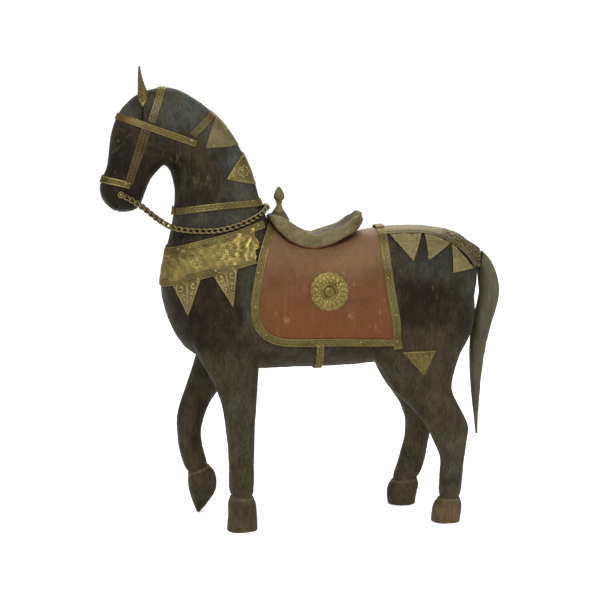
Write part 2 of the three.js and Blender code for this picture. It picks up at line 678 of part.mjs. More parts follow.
function toMesh(name, form, finish) {
  const mesh = form.getMesh();
  const geometry = new THREE.BufferGeometry();
  geometry.setAttribute('position', new THREE.Float32BufferAttribute(mesh.vertProperties, 3));
  geometry.setIndex(Array.from(mesh.triVerts));
  const piece = new THREE.Mesh(geometry, new THREE.MeshStandardMaterial(finishes[finish]));
  piece.name = name;
  return piece;
}

const sides = ['left', 'right'];
const pieces = [
  ['carved_body', carvedBody(), 'wood'],
  ['tail', tail(), 'tailWood'],
  ['dock_plate', plate(dock, 'both'), 'darkBrass'],
  ['back_strip', plate(strip, 'both', [dock, rearBand]), 'darkBrass'],
  ['saddle', saddle(), 'darkBrass'],
  ['saddle_knob', saddleKnob(), 'darkBrass'],
  ['saddle_blanket', saddleBlanket(), 'copper'],
  ['blanket_rear_band', blanketRearBand(), 'brass'],
  ['girth_strap', plate(strapOutline(girthLine, girthWidth), 'both', [edging], girthSheet), 'brass'],
  ['brow_band', plate(brow, 'both'), 'brass'],
  ['crown_band', plate(crown, 'both', [brow]), 'brass'],
  ['nape_band', plate(nape, 'both', [brow]), 'brass'],
  ['nose_band', plate(nose, 'both'), 'brass'],
  ['rein_chain', reinChain(), 'brass'],
  ['neck_band', neckBand(), 'brass'],
  ['collar_top_band', plate(collarTop, 'both'), 'brass'],
  ['collar_bottom_band', plate(collarFoot, 'both'), 'brass'],
  ['breast_plate', breastPlate(), 'brightBrass'],
  ['mane_plate_upper', plate(upperManePlate.map(place), 'both', [nape]), 'brightBrass'],
  ['mane_plate_lower', plate(lowerManePlate.map(place), 'both'), 'brightBrass'],
  ...sides.flatMap((side) => [
    [`ear_${side}`, ear(side), 'darkBrass'],
    [`blanket_edge_${side}`, blanketEdge(side), 'brass'],
    [`rosette_${side}`, rosette(side), 'brightBrass'],
    [`cheek_strap_${side}`, plate(cheek, side, [brow, nose]), 'brass'],
    [`bit_stud_${side}`, bitStud(side), 'brightBrass'],
    [`breast_pendant_front_${side}`, plate(frontPendant.map(place), side, [collarFoot]), 'brightBrass'],
    [`breast_pendant_rear_${side}`, plate(rearPendant.map(place), side, [collarFoot]), 'brightBrass'],
    ...rumpTriangles.map(([where, points]) => [
      `rump_triangle_${where}_${side}`, plate(points.map(place), side, [strip, rearBand]), 'brass',
    ]),
    [`haunch_triangle_${side}`, plate(haunchTriangle.map(place), side, [], sheet, haunchDepth), 'brass'],
  ]),
];

const horseSculpture = new THREE.Group();
pieces.forEach(([name, form, finish]) => horseSculpture.add(toMesh(name, form, finish)));

// The origin is on the ground under the middle of the whole.
const bounds = new THREE.Box3().setFromObject(horseSculpture);
const middle = bounds.getCenter(new THREE.Vector3());
horseSculpture.position.set(-middle.x, -middle.y, -bounds.min.z);

export default horseSculpture;
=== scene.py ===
"""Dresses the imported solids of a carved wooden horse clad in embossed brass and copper.

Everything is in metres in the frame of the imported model: the horse faces -X, its left side is -Y.
Places given in the side view are hundredths of the horse's stature, as a carver would mark them on the block.
"""
from __future__ import annotations

import logging
import math
from contextlib import contextmanager
from dataclasses import dataclass
from enum import Enum
from typing import Callable, Iterator, Sequence

import bpy
import numpy as np
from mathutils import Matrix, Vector
from mathutils.bvhtree import BVHTree


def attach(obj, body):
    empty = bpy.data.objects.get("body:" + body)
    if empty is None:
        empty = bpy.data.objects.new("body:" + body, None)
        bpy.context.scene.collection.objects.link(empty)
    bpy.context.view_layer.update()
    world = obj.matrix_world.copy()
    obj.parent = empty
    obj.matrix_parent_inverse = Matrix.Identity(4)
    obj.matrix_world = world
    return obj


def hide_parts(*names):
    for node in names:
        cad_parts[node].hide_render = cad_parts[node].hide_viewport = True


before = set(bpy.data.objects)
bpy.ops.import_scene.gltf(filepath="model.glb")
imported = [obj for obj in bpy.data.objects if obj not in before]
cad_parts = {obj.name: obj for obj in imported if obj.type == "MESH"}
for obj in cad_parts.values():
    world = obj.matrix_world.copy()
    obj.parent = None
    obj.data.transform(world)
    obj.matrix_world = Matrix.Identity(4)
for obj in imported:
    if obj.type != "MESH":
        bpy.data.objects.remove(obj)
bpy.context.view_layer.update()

LOG = logging.getLogger("horse")
LEFT = -1
RIGHT = 1
SIDES = (("left", LEFT), ("right", RIGHT))
MM = 0.001
TURN = 2 * math.pi
# One hundredth of the stature, and where the side view's middle stands in the frame.
SHARE = 0.006
SHIFT = -0.0063
# The gap between sheet and wood, that of a sheet over another's edge, the sheet's thickness, and a place well
# beside the horse.
GAP = 0.0002
OVER = GAP + 0.0006
SHEET = 0.0009
FAR_SIDE = 0.4
Array = np.ndarray
Piece = bpy.types.Object
Socket = bpy.types.NodeSocket
Spots = Sequence[Sequence[float]]
Height = Callable[["Patch"], Array]
FINISHED: list[tuple[Piece, str]] = []


def side_point(x: float, z: float, y: float = 0.0) -> Array:
    """A place in the side view as a point in metres."""
    return np.array([x * SHARE + SHIFT, y * SHARE, z * SHARE])


def side_line(points: Spots) -> Array:
    """A line of the side view as (x, z) in metres."""
    line = np.array(points, float) * SHARE
    line[..., 0] += SHIFT
    return line


def spline(knots: Array, count: int) -> Array:
    """Runs a smooth curve through knots, eased by the root of their distances.

    Args:
        knots: The points that the curve passes, one a row.
        count: How many points to give back, evenly between the first knot and the last.

    Returns:
        The points of the curve.
    """
    steps = np.linalg.norm(np.diff(knots[:, :4], axis=0), axis=1) ** 0.5 + 1e-9
    place = np.concatenate([[0.0], np.cumsum(steps)])
    slope = np.diff(knots, axis=0) / steps[:, None]
    tangent = np.empty_like(knots)
    tangent[0], tangent[-1] = slope[0], slope[-1]
    before, after = steps[:-1, None], steps[1:, None]
    tangent[1:-1] = (slope[:-1] * after + slope[1:] * before) / (before + after)
    wanted = np.interp(np.linspace(0, len(knots) - 1, count), np.arange(len(knots)), place)
    index = np.clip(np.searchsorted(place, wanted, side="right") - 1, 0, len(steps) - 1)
    span = steps[index][:, None]
    t = ((wanted - place[index]) / steps[index])[:, None]
    start, end = knots[index], knots[index + 1]
    return (
        (2 * t**3 - 3 * t**2 + 1) * start
        + (t**3 - 2 * t**2 + t) * span * tangent[index]
        + (3 * t**2 - 2 * t**3) * end
        + (t**3 - t**2) * span * tangent[index + 1]
    )


def along(line: Array, places: Array) -> Array:
    """Points of a polyline at distances from its start, run on straight past its ends."""
    steps = np.linalg.norm(np.diff(line, axis=0), axis=1)
    reach = np.concatenate([[0.0], np.cumsum(steps)])
    inside = np.clip(places, 0.0, reach[-1])
    points = np.stack([np.interp(inside, reach, line[:, k]) for k in range(line.shape[1])], axis=-1)
    ahead = (line[-1] - line[-2]) / max(steps[-1], 1e-9)
    return points + np.clip(places - reach[-1], 0.0, None)[..., None] * ahead


def length_of(line: Array) -> float:
    """The length of a polyline."""
    return float(np.linalg.norm(np.diff(line, axis=0), axis=1).sum())


def ridge(distance: Array, width: float) -> Array:
    """A soft ridge, 1 on its line and fading over its width."""
    return np.exp(-((distance / width) ** 2))


def bump_noise(points: Array, pitch: float, seed: int) -> Array:
    """Slow hand-worked unevenness, from -1 to 1, the same on each run."""
    draw = np.random.default_rng(seed)
    waves = draw.normal(size=(9, 3)) * TURN / pitch
    phases = draw.uniform(0, TURN, 9)
    return np.sin(points @ waves.T + phases).sum(axis=-1) / 4.5


class Reach(Enum):
    """How a sheet runs round the carved form."""

    FLANK = "stays on one flank"
    HALF = "runs from a flank up to the middle"
    ARCH = "runs from one flank over the middle to the other"
    HOOP = "runs right round"


# Bench


class Bench:
    """The ways of modelling that every piece uses."""

    @staticmethod
    def clear() -> None:
        """Selects nothing, so that an operator acts on the next piece alone."""
        if bpy.context.object is not None and bpy.context.object.mode != "OBJECT":
            bpy.ops.object.mode_set(mode="OBJECT")
        bpy.ops.object.select_all(action="DESELECT")

    @staticmethod
    def take(piece: Piece) -> None:
        """Selects one piece and makes it active."""
        Bench.clear()
        piece.select_set(True)
        bpy.context.view_layer.objects.active = piece

    @staticmethod
    def grid(name: str, points: Array) -> Piece:
        """Lays a grid through points.

        Args:
            name: The piece's name.
            points: Rows of points, shape (rows, columns, 3).

        Returns:
            The new piece.
        """
        rows, columns = points.shape[:2]
        Bench.clear()
        bpy.ops.mesh.primitive_grid_add(x_subdivisions=columns - 1, y_subdivisions=rows - 1, size=1.0)
        piece = bpy.context.object
        piece.name = piece.data.name = name
        piece.data.vertices.foreach_set("co", points.reshape(-1))
        piece.data.update()
        return piece

    @staticmethod
    @contextmanager
    def editing(piece: Piece) -> Iterator[None]:
        """Opens a piece in edit mode with everything selected, and closes it again."""
        Bench.take(piece)
        bpy.ops.object.mode_set(mode="EDIT")
        bpy.ops.mesh.select_all(action="SELECT")
        yield
        bpy.ops.object.mode_set(mode="OBJECT")

    @staticmethod
    def weld(piece: Piece) -> None:
        """Merges doubled points and turns the faces outwards."""
        with Bench.editing(piece):
            bpy.ops.mesh.remove_doubles(threshold=2e-6)
            bpy.ops.mesh.normals_make_consistent(inside=False)

    @staticmethod
    def loft(name: str, rows: Array) -> Piece:
        """Skins closed sections and closes both ends on their middles."""
        closed = np.concatenate([rows, rows[:, :1]], axis=1)
        first = np.broadcast_to(rows[0].mean(axis=0), closed[:1].shape)
        last = np.broadcast_to(rows[-1].mean(axis=0), closed[:1].shape)
        piece = Bench.grid(name, np.concatenate([first, closed, last]))
        Bench.weld(piece)
        return piece

    @staticmethod
    def turned(
        name: str,
        profile: Spots,
        foot: Array,
        axis: Array,
        sides: int = 40,
        petals: int = 0,
        smooth: bool = True,
    ) -> Piece:
        """Turns a profile round an axis.

        Args:
            name: The piece's name.
            profile: Radius and height from the foot up, in millimetres.
            foot: Where the axis starts.
            axis: The way that it points.
            sides: How many sides the turned piece has.
            petals: How many soft flutes run up it.
            smooth: Whether a smooth curve runs through the profile.

        Returns:
            The new piece.
        """
        line = np.array(profile, float) * MM
        line = spline(line, len(line) * 4) if smooth else line
        axis = axis / np.linalg.norm(axis)
        first = np.cross(axis, [0.0, 0.3, 1.0] if abs(axis[2]) < 0.9 else [1.0, 0, 0])
        first /= np.linalg.norm(first)
        second = np.cross(axis, first)
        turn = np.linspace(0, TURN, sides, endpoint=False)
        flute = 1 - 0.05 * (1 - np.abs(np.cos(turn * petals / 2))) if petals else np.ones(sides)
        circle = (np.cos(turn) * flute)[:, None] * first + (np.sin(turn) * flute)[:, None] * second
        rows = foot + line[:, 1, None, None] * axis + line[:, 0, None, None] * circle
        return Bench.loft(name, rows)

    @staticmethod
    def refine(piece: Piece, near: Array, cuts: int) -> None:
        """Splits the faces whose points are all marked."""
        corners = Bench.read(piece.data.loops, "vertex_index")
        starts = Bench.read(piece.data.polygons, "loop_start")
        marked = np.minimum.reduceat(near[corners].astype(int), starts) > 0
        Bench.take(piece)
        bpy.ops.object.mode_set(mode="EDIT")
        bpy.ops.mesh.select_mode(type="FACE")
        bpy.ops.mesh.select_all(action="DESELECT")
        bpy.ops.object.mode_set(mode="OBJECT")
        piece.data.polygons.foreach_set("select", marked)
        bpy.ops.object.mode_set(mode="EDIT")
        bpy.ops.mesh.subdivide(number_cuts=cuts, smoothness=0.0)
        bpy.ops.mesh.select_mode(type="VERT")
        bpy.ops.object.mode_set(mode="OBJECT")

    @staticmethod
    def apply(piece: Piece, kind: str, **settings: object) -> None:
        """Adds a modifier with its settings and applies it."""
        Bench.take(piece)
        modifier = piece.modifiers.new(kind.title(), kind)
        for key, value in settings.items():
            setattr(modifier, key, value)
        bpy.ops.object.modifier_apply(modifier=modifier.name)

    @staticmethod
    def join(name: str, pieces: Sequence[Piece]) -> Piece:
        """Joins pieces into the first and renames it."""
        Bench.take(pieces[0])
        for piece in pieces[1:]:
            piece.select_set(True)
        if len(pieces) > 1:
            bpy.ops.object.join()
        whole = bpy.context.object
        whole.name = whole.data.name = name
        return whole

    @staticmethod
    def smooth(piece: Piece, angle: float = 40.0) -> None:
        """Shades a piece smooth, and sharp where its faces meet at more than an angle."""
        Bench.take(piece)
        bpy.ops.object.shade_smooth_by_angle(angle=math.radians(angle))

    @staticmethod
    def read(items: bpy.types.bpy_prop_collection, name: str, size: int = 1, kind: type = int) -> Array:
        """Reads a number or a row of numbers from each item of a mesh."""
        values = np.empty(len(items) * size, kind)
        items.foreach_get(name, values)
        return values.reshape(-1, size) if size > 1 else values

    @staticmethod
    def points(piece: Piece) -> Array:
        """The piece's points, one a row."""
        return Bench.read(piece.data.vertices, "co", 3, float)

    @staticmethod
    def normals(piece: Piece) -> Array:
        """The piece's normals at its points."""
        piece.data.update()
        return Bench.read(piece.data.vertex_normals, "vector", 3, float)

    @staticmethod
    def move(piece: Piece, places: Array) -> None:
        """Moves the piece's points to places."""
        piece.data.vertices.foreach_set("co", np.ascontiguousarray(places).reshape(-1))
        piece.data.update()

    @staticmethod
    def note(piece: Piece, name: str, values: Array) -> None:
        """Keeps one number a point on the piece, for its finish to read."""
        layer = piece.data.attributes.get(name) or piece.data.attributes.new(name, "FLOAT", "POINT")
        layer.data.foreach_set("value", np.ascontiguousarray(values, dtype=np.float32))

    @staticmethod
    def tree(piece: Piece) -> BVHTree:
        """A search tree over the piece's faces."""
        mesh = piece.data
        return BVHTree.FromPolygons(
            [tuple(v.co) for v in mesh.vertices], [tuple(p.vertices) for p in mesh.polygons]
        )


def settle(
    piece: Piece, finish: "Finish", nodes: Sequence[str], slot: str, angle: float = 40.0
) -> Piece:
    """Shades and dresses a finished piece, and says what it stands for.

    Args:
        piece: The finished piece.
        finish: Its finish.
        nodes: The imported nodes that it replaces, or none.
        slot: The record's material slot.
        angle: Faces that meet at more than this stay sharp.

    Returns:
        The piece.
    """
    Bench.smooth(piece, angle)
    piece.data.materials.clear()
    piece.data.materials.append(finish.material())
    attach(piece, "root")
    if nodes:
        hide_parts(*nodes)
    FINISHED.append((piece, slot))
    LOG.info("%s: %d faces", piece.name, len(piece.data.polygons))
    return piece


# Finishes


class Shades:
    """A material's nodes, added one after another."""

    def __init__(self, name: str) -> None:
        """Starts a material with its shader."""
        self.material = bpy.data.materials.new(name)
        self.material.use_nodes = True
        self.nodes = self.material.node_tree.nodes
        self.links = self.material.node_tree.links
        self.shader = self.nodes["Principled BSDF"]
        self.coordinates = self.nodes.new("ShaderNodeTexCoord")

    def add(self, kind: str, inputs: dict[str, object], **settings: object) -> bpy.types.Node:
        """Adds a node, sets it up and links or sets its inputs."""
        node = self.nodes.new(kind)
        for key, value in settings.items():
            setattr(node, key, value)
        for key, value in inputs.items():
            self.feed(node.inputs[key], value)
        return node

    def feed(self, socket: Socket, value: object) -> None:
        """Links a socket to another, or sets it to a number or colour."""
        if isinstance(value, Socket):
            self.links.new(value, socket)
        else:
            socket.default_value = value

    def placed(self, scale: Sequence[float]) -> Socket:
        """The piece's own coordinates, stretched."""
        mapping = self.add("ShaderNodeMapping", {"Vector": self.coordinates.outputs["Object"]})
        mapping.inputs["Scale"].default_value = scale
        return mapping.outputs["Vector"]

    def noise(self, scale: Sequence[float], detail: float = 5.0, rough: float = 0.6) -> Socket:
        """Cloudy noise with so many clouds a metre each way."""
        inputs = {"Vector": self.placed(scale), "Scale": 1.0, "Detail": detail, "Roughness": rough}
        return self.add("ShaderNodeTexNoise", inputs).outputs[0]

    def cells(self, scale: float) -> Socket:
        """The distance to the nearest of scattered points."""
        inputs = {"Vector": self.placed((1, 1, 1)), "Scale": scale}
        return self.add("ShaderNodeTexVoronoi", inputs).outputs["Distance"]

    def noted(self, name: str) -> Socket:
        """A number that the piece keeps at its points."""
        return self.add("ShaderNodeAttribute", {}, attribute_name=name).outputs["Fac"]

    def product(self, name: str, amount: Socket) -> Socket:
        """A noted number times an amount."""
        return self.sum("MULTIPLY", self.noted(name), amount)

    def height(self) -> Socket:
        """The height above the ground."""
        parts = self.add("ShaderNodeSeparateXYZ", {"Vector": self.coordinates.outputs["Object"]})
        return parts.outputs["Z"]

    def spread(
        self, value: Socket, low: float, high: float, first: float = 0.0, last: float = 1.0
    ) -> Socket:
        """Turns a value between low and high into one between first and last."""
        inputs = {"Value": value, "From Min": low, "From Max": high, "To Min": first, "To Max": last}
        return self.add("ShaderNodeMapRange", inputs, clamp=True).outputs["Result"]

    def sum(self, kind: str, first: object, second: object) -> Socket:
        """Adds, multiplies or otherwise joins two numbers."""
        node = self.add("ShaderNodeMath", {}, operation=kind)
        self.feed(node.inputs[0], first)
        self.feed(node.inputs[1], second)
        return node.outputs[0]

    def blend(self, amount: object, first: object, second: object) -> Socket:
        """Mixes two colours."""
        node = self.add("ShaderNodeMix", {}, data_type="RGBA")
        for index, value in ((0, amount), (6, first), (7, second)):
            self.feed(node.inputs[index], value)
        return node.outputs[2]

    def relief(self, height: Socket, depth: float) -> None:
        """Raises the surface by a height in metres, over what was raised before."""
        bump = self.add("ShaderNodeBump", {"Height": height, "Distance": depth, "Strength": 1.0})
        before = self.shader.inputs["Normal"]
        if before.is_linked:
            self.links.new(before.links[0].from_socket, bump.inputs["Normal"])
        self.links.new(bump.outputs["Normal"], before)


def colour(red: float, green: float, blue: float) -> tuple[float, float, float, float]:
    """A colour with its opacity, from red, green and blue as a screen shows them, 0 to 255."""
    return (*(((part / 255 + 0.055) / 1.055) ** 2.4 for part in (red, green, blue)), 1.0)


WARM_SHINE = colour(255, 236, 206)


class Finish:
    """A finish that makes its material once."""

    name: str = "finish"

    def __init__(self) -> None:
        """Starts with no material made."""
        self.made: bpy.types.Material | None = None

    def material(self) -> bpy.types.Material:
        """The material, made the first time it is asked for."""
        if self.made is None:
            self.made = self.mix(Shades(self.name))
        return self.made

    def mix(self, shades: Shades) -> bpy.types.Material:
        """Mixes the finish's colours and relief."""
        raise NotImplementedError


class OiledWood(Finish):
    """Dark carved hardwood, dusty and greyed by age, with painted sheen on the grey, painted shade in its
    grooves and darker zones, worn edges and small scratches.
    """

    name = "oiled_carved_wood"

    heartwood = colour(13, 10, 7)
    sapwood = colour(40, 34, 23)
    streak = colour(55, 46, 31)
    reddish = colour(34, 19, 14)
    dust = colour(75, 65, 44)
    bloom = colour(65, 70, 66)
    soot = colour(12, 10, 7)
    rubbed = colour(78, 69, 49)
    pore = colour(12, 10, 8)
    fibre = colour(80, 72, 53)
    painted_shade_colour = colour(12, 8, 5)
    grain_line = colour(13, 11, 8)
    scratch = colour(92, 82, 64)
    lime = colour(150, 140, 120)
    bare = colour(108, 88, 64)
    painted_cavity_shade = colour(12, 9, 8)

    def mix(self, shades: Shades) -> bpy.types.Material:
        """Mixes brown wood, its upright grain, grey bloom with painted sheen, reddish wear, painted shade and
        pale scratches.
        """
        spread, blend = shades.spread, shades.blend
        clouds = shades.noise((20, 20, 13), 6, 0.62)
        streaks = shades.noise((110, 110, 9), 5, 0.65)
        grain = shades.noise((420, 420, 30), 4, 0.65)
        blotches = shades.noise((58, 58, 38), 6, 0.6)
        strands = shades.noise((360, 360, 140), 4, 0.7)
        dust_and_sheen = spread(shades.noise((40, 40, 20), 7, 0.62), 0.34, 0.62, 0.35, 1.0)
        flaked = spread(shades.noted("scuffed"), 0.0, 1.0, 0.0, 0.13)
        chips = shades.sum("ADD", shades.noise((260, 260, 60), 6, 0.72), flaked)
        chips = spread(chips, 0.64, 0.72, 0.0, 0.7)
        specks = spread(shades.cells(95), 0.02, 0.06, 1.0, 0.0)
        rare = spread(shades.noise((60, 60, 40), 2, 0.5), 0.6, 0.66)
        base = blend(spread(clouds, 0.38, 0.62), self.heartwood, self.sapwood)
        for amount, tint in (
            (spread(streaks, 0.44, 0.68, 0.0, 0.6), self.streak),
            (shades.product("warmth", spread(clouds, 0.34, 0.6, 0.45, 0.95)), self.reddish),
            (shades.sum("MULTIPLY", spread(shades.height(), 0.12, 0.33, 0.8, 0.0), dust_and_sheen), self.dust),
            # Grey bloom on the crown and neck, partly painted sheen.
            (shades.product("patina_and_sheen", dust_and_sheen), self.bloom),
            (spread(blotches, 0.33, 0.56, 0.5, 0.0), self.soot),
            (spread(blotches, 0.45, 0.75, 0.0, 0.3), self.rubbed),
            (spread(strands, 0.34, 0.52, 0.4, 0.0), self.pore),
            (spread(strands, 0.5, 0.7, 0.0, 0.25), self.fibre),
            # Painted shade: broad darker zones of the head, chest, shoulder, haunch and legs.
            (shades.product("deep", spread(blotches, 0.4, 0.62, 1.0, 0.6)), self.painted_shade_colour),
            (spread(grain, 0.55, 0.72, 0.0, 0.5), self.grain_line),
            (chips, self.scratch),
            (shades.sum("MULTIPLY", specks, rare), self.lime),
            (shades.product("worn", spread(grain, 0.35, 0.6, 0.9, 0.4)), self.bare),
            # Painted shade in the crack, the mouth, the nostril, the frieze grooves and round the eye.
            (spread(shades.noted("painted_hollow_shade"), 0.0, 1.0), self.painted_cavity_shade),
        ):
            base = blend(amount, base, tint)
        shades.feed(shades.shader.inputs["Base Color"], base)
        unevenness = shades.sum("ADD", clouds, shades.sum("MULTIPLY", grain, 0.5))
        shades.feed(shades.shader.inputs["Roughness"], spread(unevenness, 0.5, 1.0, 0.42, 0.72))
        shades.shader.inputs["Specular IOR Level"].default_value = 0.13
        shades.shader.inputs["Specular Tint"].default_value = WARM_SHINE
        for height, depth in ((grain, 0.0004), (streaks, 0.0008), (blotches, 0.0012), (chips, 0.0006)):
            shades.relief(height, depth)
        return shades.material


class PaleWood(Finish):
    """Smooth olive-brown patinated wood of the tail."""

    name = "patinated_tail_wood"

    def mix(self, shades: Shades) -> bpy.types.Material:
        """Mixes olive wood with grey bloom, long streaks and painted shade at the tail's root."""
        clouds = shades.noise((30, 30, 18), 5, 0.6)
        grain = shades.noise((300, 300, 18), 5, 0.65)
        base = shades.blend(shades.spread(clouds, 0.35, 0.65), colour(60, 56, 37), colour(88, 84, 61))
        base = shades.blend(shades.spread(grain, 0.45, 0.75, 0.0, 0.75), base, colour(46, 38, 27))
        # Painted shade where the tail meets the dock.
        base = shades.blend(shades.spread(shades.noted("painted_hollow_shade"), 0.0, 1.0), base, colour(26, 21, 16))
        shades.feed(shades.shader.inputs["Base Color"], base)
        shades.feed(shades.shader.inputs["Roughness"], shades.spread(clouds, 0.3, 0.7, 0.5, 0.68))
        shades.shader.inputs["Specular IOR Level"].default_value = 0.3
        shades.relief(grain, 0.0008)
        return shades.material


class SheetMetal(Finish):
    """Aged sheet metal that is dark in its hollows with painted shade and grime, and rubbed bright on its
    ridges with painted highlight.
    """

    def __init__(
        self,
        name: str,
        dull: Sequence[float],
        body: Sequence[float],
        bright: Sequence[float],
        metallic: float = 0.75,
        roughness: tuple[float, float] = (0.32, 0.56),
    ) -> None:
        """Keeps the finish's three colours, its shine and its roughness."""
        super().__init__()
        self.name = name
        self.dull, self.body, self.bright = colour(*dull), colour(*body), colour(*bright)
        # The colour of painted shade and grime in the hollows.
        self.shade_and_dirt = colour(*(0.5 * part for part in dull))
        self.metallic = metallic
        self.roughness = roughness

    def mix(self, shades: Shades) -> bpy.types.Material:
        """Mixes tarnish, rubbed ridges with painted highlight, and painted shade with grime in the hollows.
        """
        spread, blend = shades.spread, shades.blend
        clouds = shades.noise((42, 42, 42), 6, 0.65)
        fine = shades.noise((380, 380, 380), 5, 0.7)
        base = blend(spread(clouds, 0.36, 0.62), self.dull, self.body)
        # Painted highlight, with rubbed wear, where the relief stands above its surroundings.
        raised = spread(shades.noted("relief"), 0.5, 0.95, 0.0, 0.9)
        raised = shades.sum("MULTIPLY", raised, spread(fine, 0.3, 0.6, 0.4, 1.0))
        base = blend(raised, base, self.bright)
        # Painted shade, with grime, where the relief sinks below its surroundings.
        base = blend(spread(shades.noted("relief"), 0.05, 0.44, 0.8, 0.0), base, self.shade_and_dirt)
        base = blend(spread(fine, 0.55, 0.72, 0.0, 0.6), base, self.dull)
        shades.feed(shades.shader.inputs["Base Color"], self.stain(shades, base))
        shades.shader.inputs["Metallic"].default_value = self.metallic
        shades.shader.inputs["Specular IOR Level"].default_value = 0.3
        shades.shader.inputs["Specular Tint"].default_value = WARM_SHINE
        rough = spread(shades.sum("ADD", clouds, fine), 0.7, 1.3, *self.roughness)
        shades.feed(shades.shader.inputs["Roughness"], rough)
        shades.relief(fine, 0.0004)
        shades.relief(shades.noise((120, 120, 120), 3, 0.5), 0.0009)
        return shades.material

    def stain(self, shades: Shades, base: Socket) -> Socket:
        """Leaves the colour as it is."""
        return base


class AgedCopper(SheetMetal):
    """Copper sheet, brown-pink above and rust-orange towards its foot."""

    def stain(self, shades: Shades, base: Socket) -> Socket:
        """Warms the colour downwards and draws pale scuffs."""
        spread = shades.spread
        drift = shades.sum("MULTIPLY", shades.noise((14, 14, 9), 4, 0.6), 0.09)
        level = shades.sum("ADD", shades.height(), drift)
        for amount, tint in (
            (spread(level, 0.30, 0.41, 0.85, 0.0), colour(97, 53, 22)),
            (spread(level, 0.37, 0.43, 0.0, 0.7), colour(108, 84, 61)),
            (spread(shades.noise((150, 150, 8), 5, 0.7), 0.55, 0.72, 0.0, 0.4), colour(116, 90, 66)),
            (spread(shades.noise((60, 60, 38), 7, 0.8), 0.61, 0.68, 0.0, 0.75), colour(140, 116, 88)),
            (spread(shades.noise((55, 55, 55), 6, 0.75), 0.57, 0.72, 0.0, 0.5), colour(56, 37, 25)),
        ):
            base = shades.blend(amount, base, tint)
        return base


class StainedSheet(SheetMetal):
    """Sheet metal with copper showing where a piece notes it."""

    def stain(self, shades: Shades, base: Socket) -> Socket:
        """Blends copper in."""
        return shades.blend(shades.noted("copper"), base, colour(92, 60, 38))


class GildedTip(SheetMetal):
    """Sheet that is golden below and greyed towards the top of the ears."""

    def stain(self, shades: Shades, base: Socket) -> Socket:
        """Greys the colour upwards."""
        high = shades.spread(shades.height(), 0.572, 0.592, 0.0, 0.8)
        return shades.blend(high, base, colour(84, 82, 72))


WOOD = OiledWood()
TAIL_WOOD = PaleWood()
OLD_BRASS = StainedSheet("aged_brass", (68, 61, 35), (100, 91, 52), (150, 137, 84))
BRIGHT_BRASS = StainedSheet("rubbed_brass", (88, 77, 40), (130, 116, 62), (194, 176, 110))
PALE_BRASS = SheetMetal("dusty_brass", (92, 85, 54), (115, 107, 70), (142, 133, 92), 0.45, (0.4, 0.6))
DARK_BRASS = SheetMetal("tarnished_brass", (62, 59, 41), (87, 83, 56), (116, 110, 78), 0.5)
BROWN_BRASS = StainedSheet("browned_brass", (44, 37, 24), (70, 60, 38), (112, 98, 62), 0.6)
MELLOW_BRASS = SheetMetal("mellow_brass", (76, 67, 41), (114, 104, 65), (178, 164, 106), 0.65)
SMUDGED_BRASS = SheetMetal("smudged_brass", (80, 71, 48), (106, 97, 67), (132, 121, 84), 0.5)
DOCK_BRASS = SheetMetal("stained_dock_brass", (46, 38, 25), (80, 71, 45), (140, 127, 82), 0.5)
CHAIN_BRASS = SheetMetal("chain_brass", (46, 40, 26), (80, 71, 46), (158, 143, 96), 0.7)
DIM_BRASS = StainedSheet("dim_brass", (60, 55, 35), (88, 81, 52), (124, 114, 76), 0.6)
SADDLE_METAL = StainedSheet(
    "matte_saddle_sheet", (80, 75, 49), (108, 101, 68), (132, 125, 91), 0.12, (0.55, 0.72)
)
EAR_BRASS = GildedTip("greyed_brass", (70, 62, 36), (98, 88, 50), (124, 112, 70), 0.55)
COPPER = AgedCopper("aged_copper", (78, 53, 33), (95, 67, 43), (118, 90, 66), 0.2, (0.42, 0.6))


# Carving

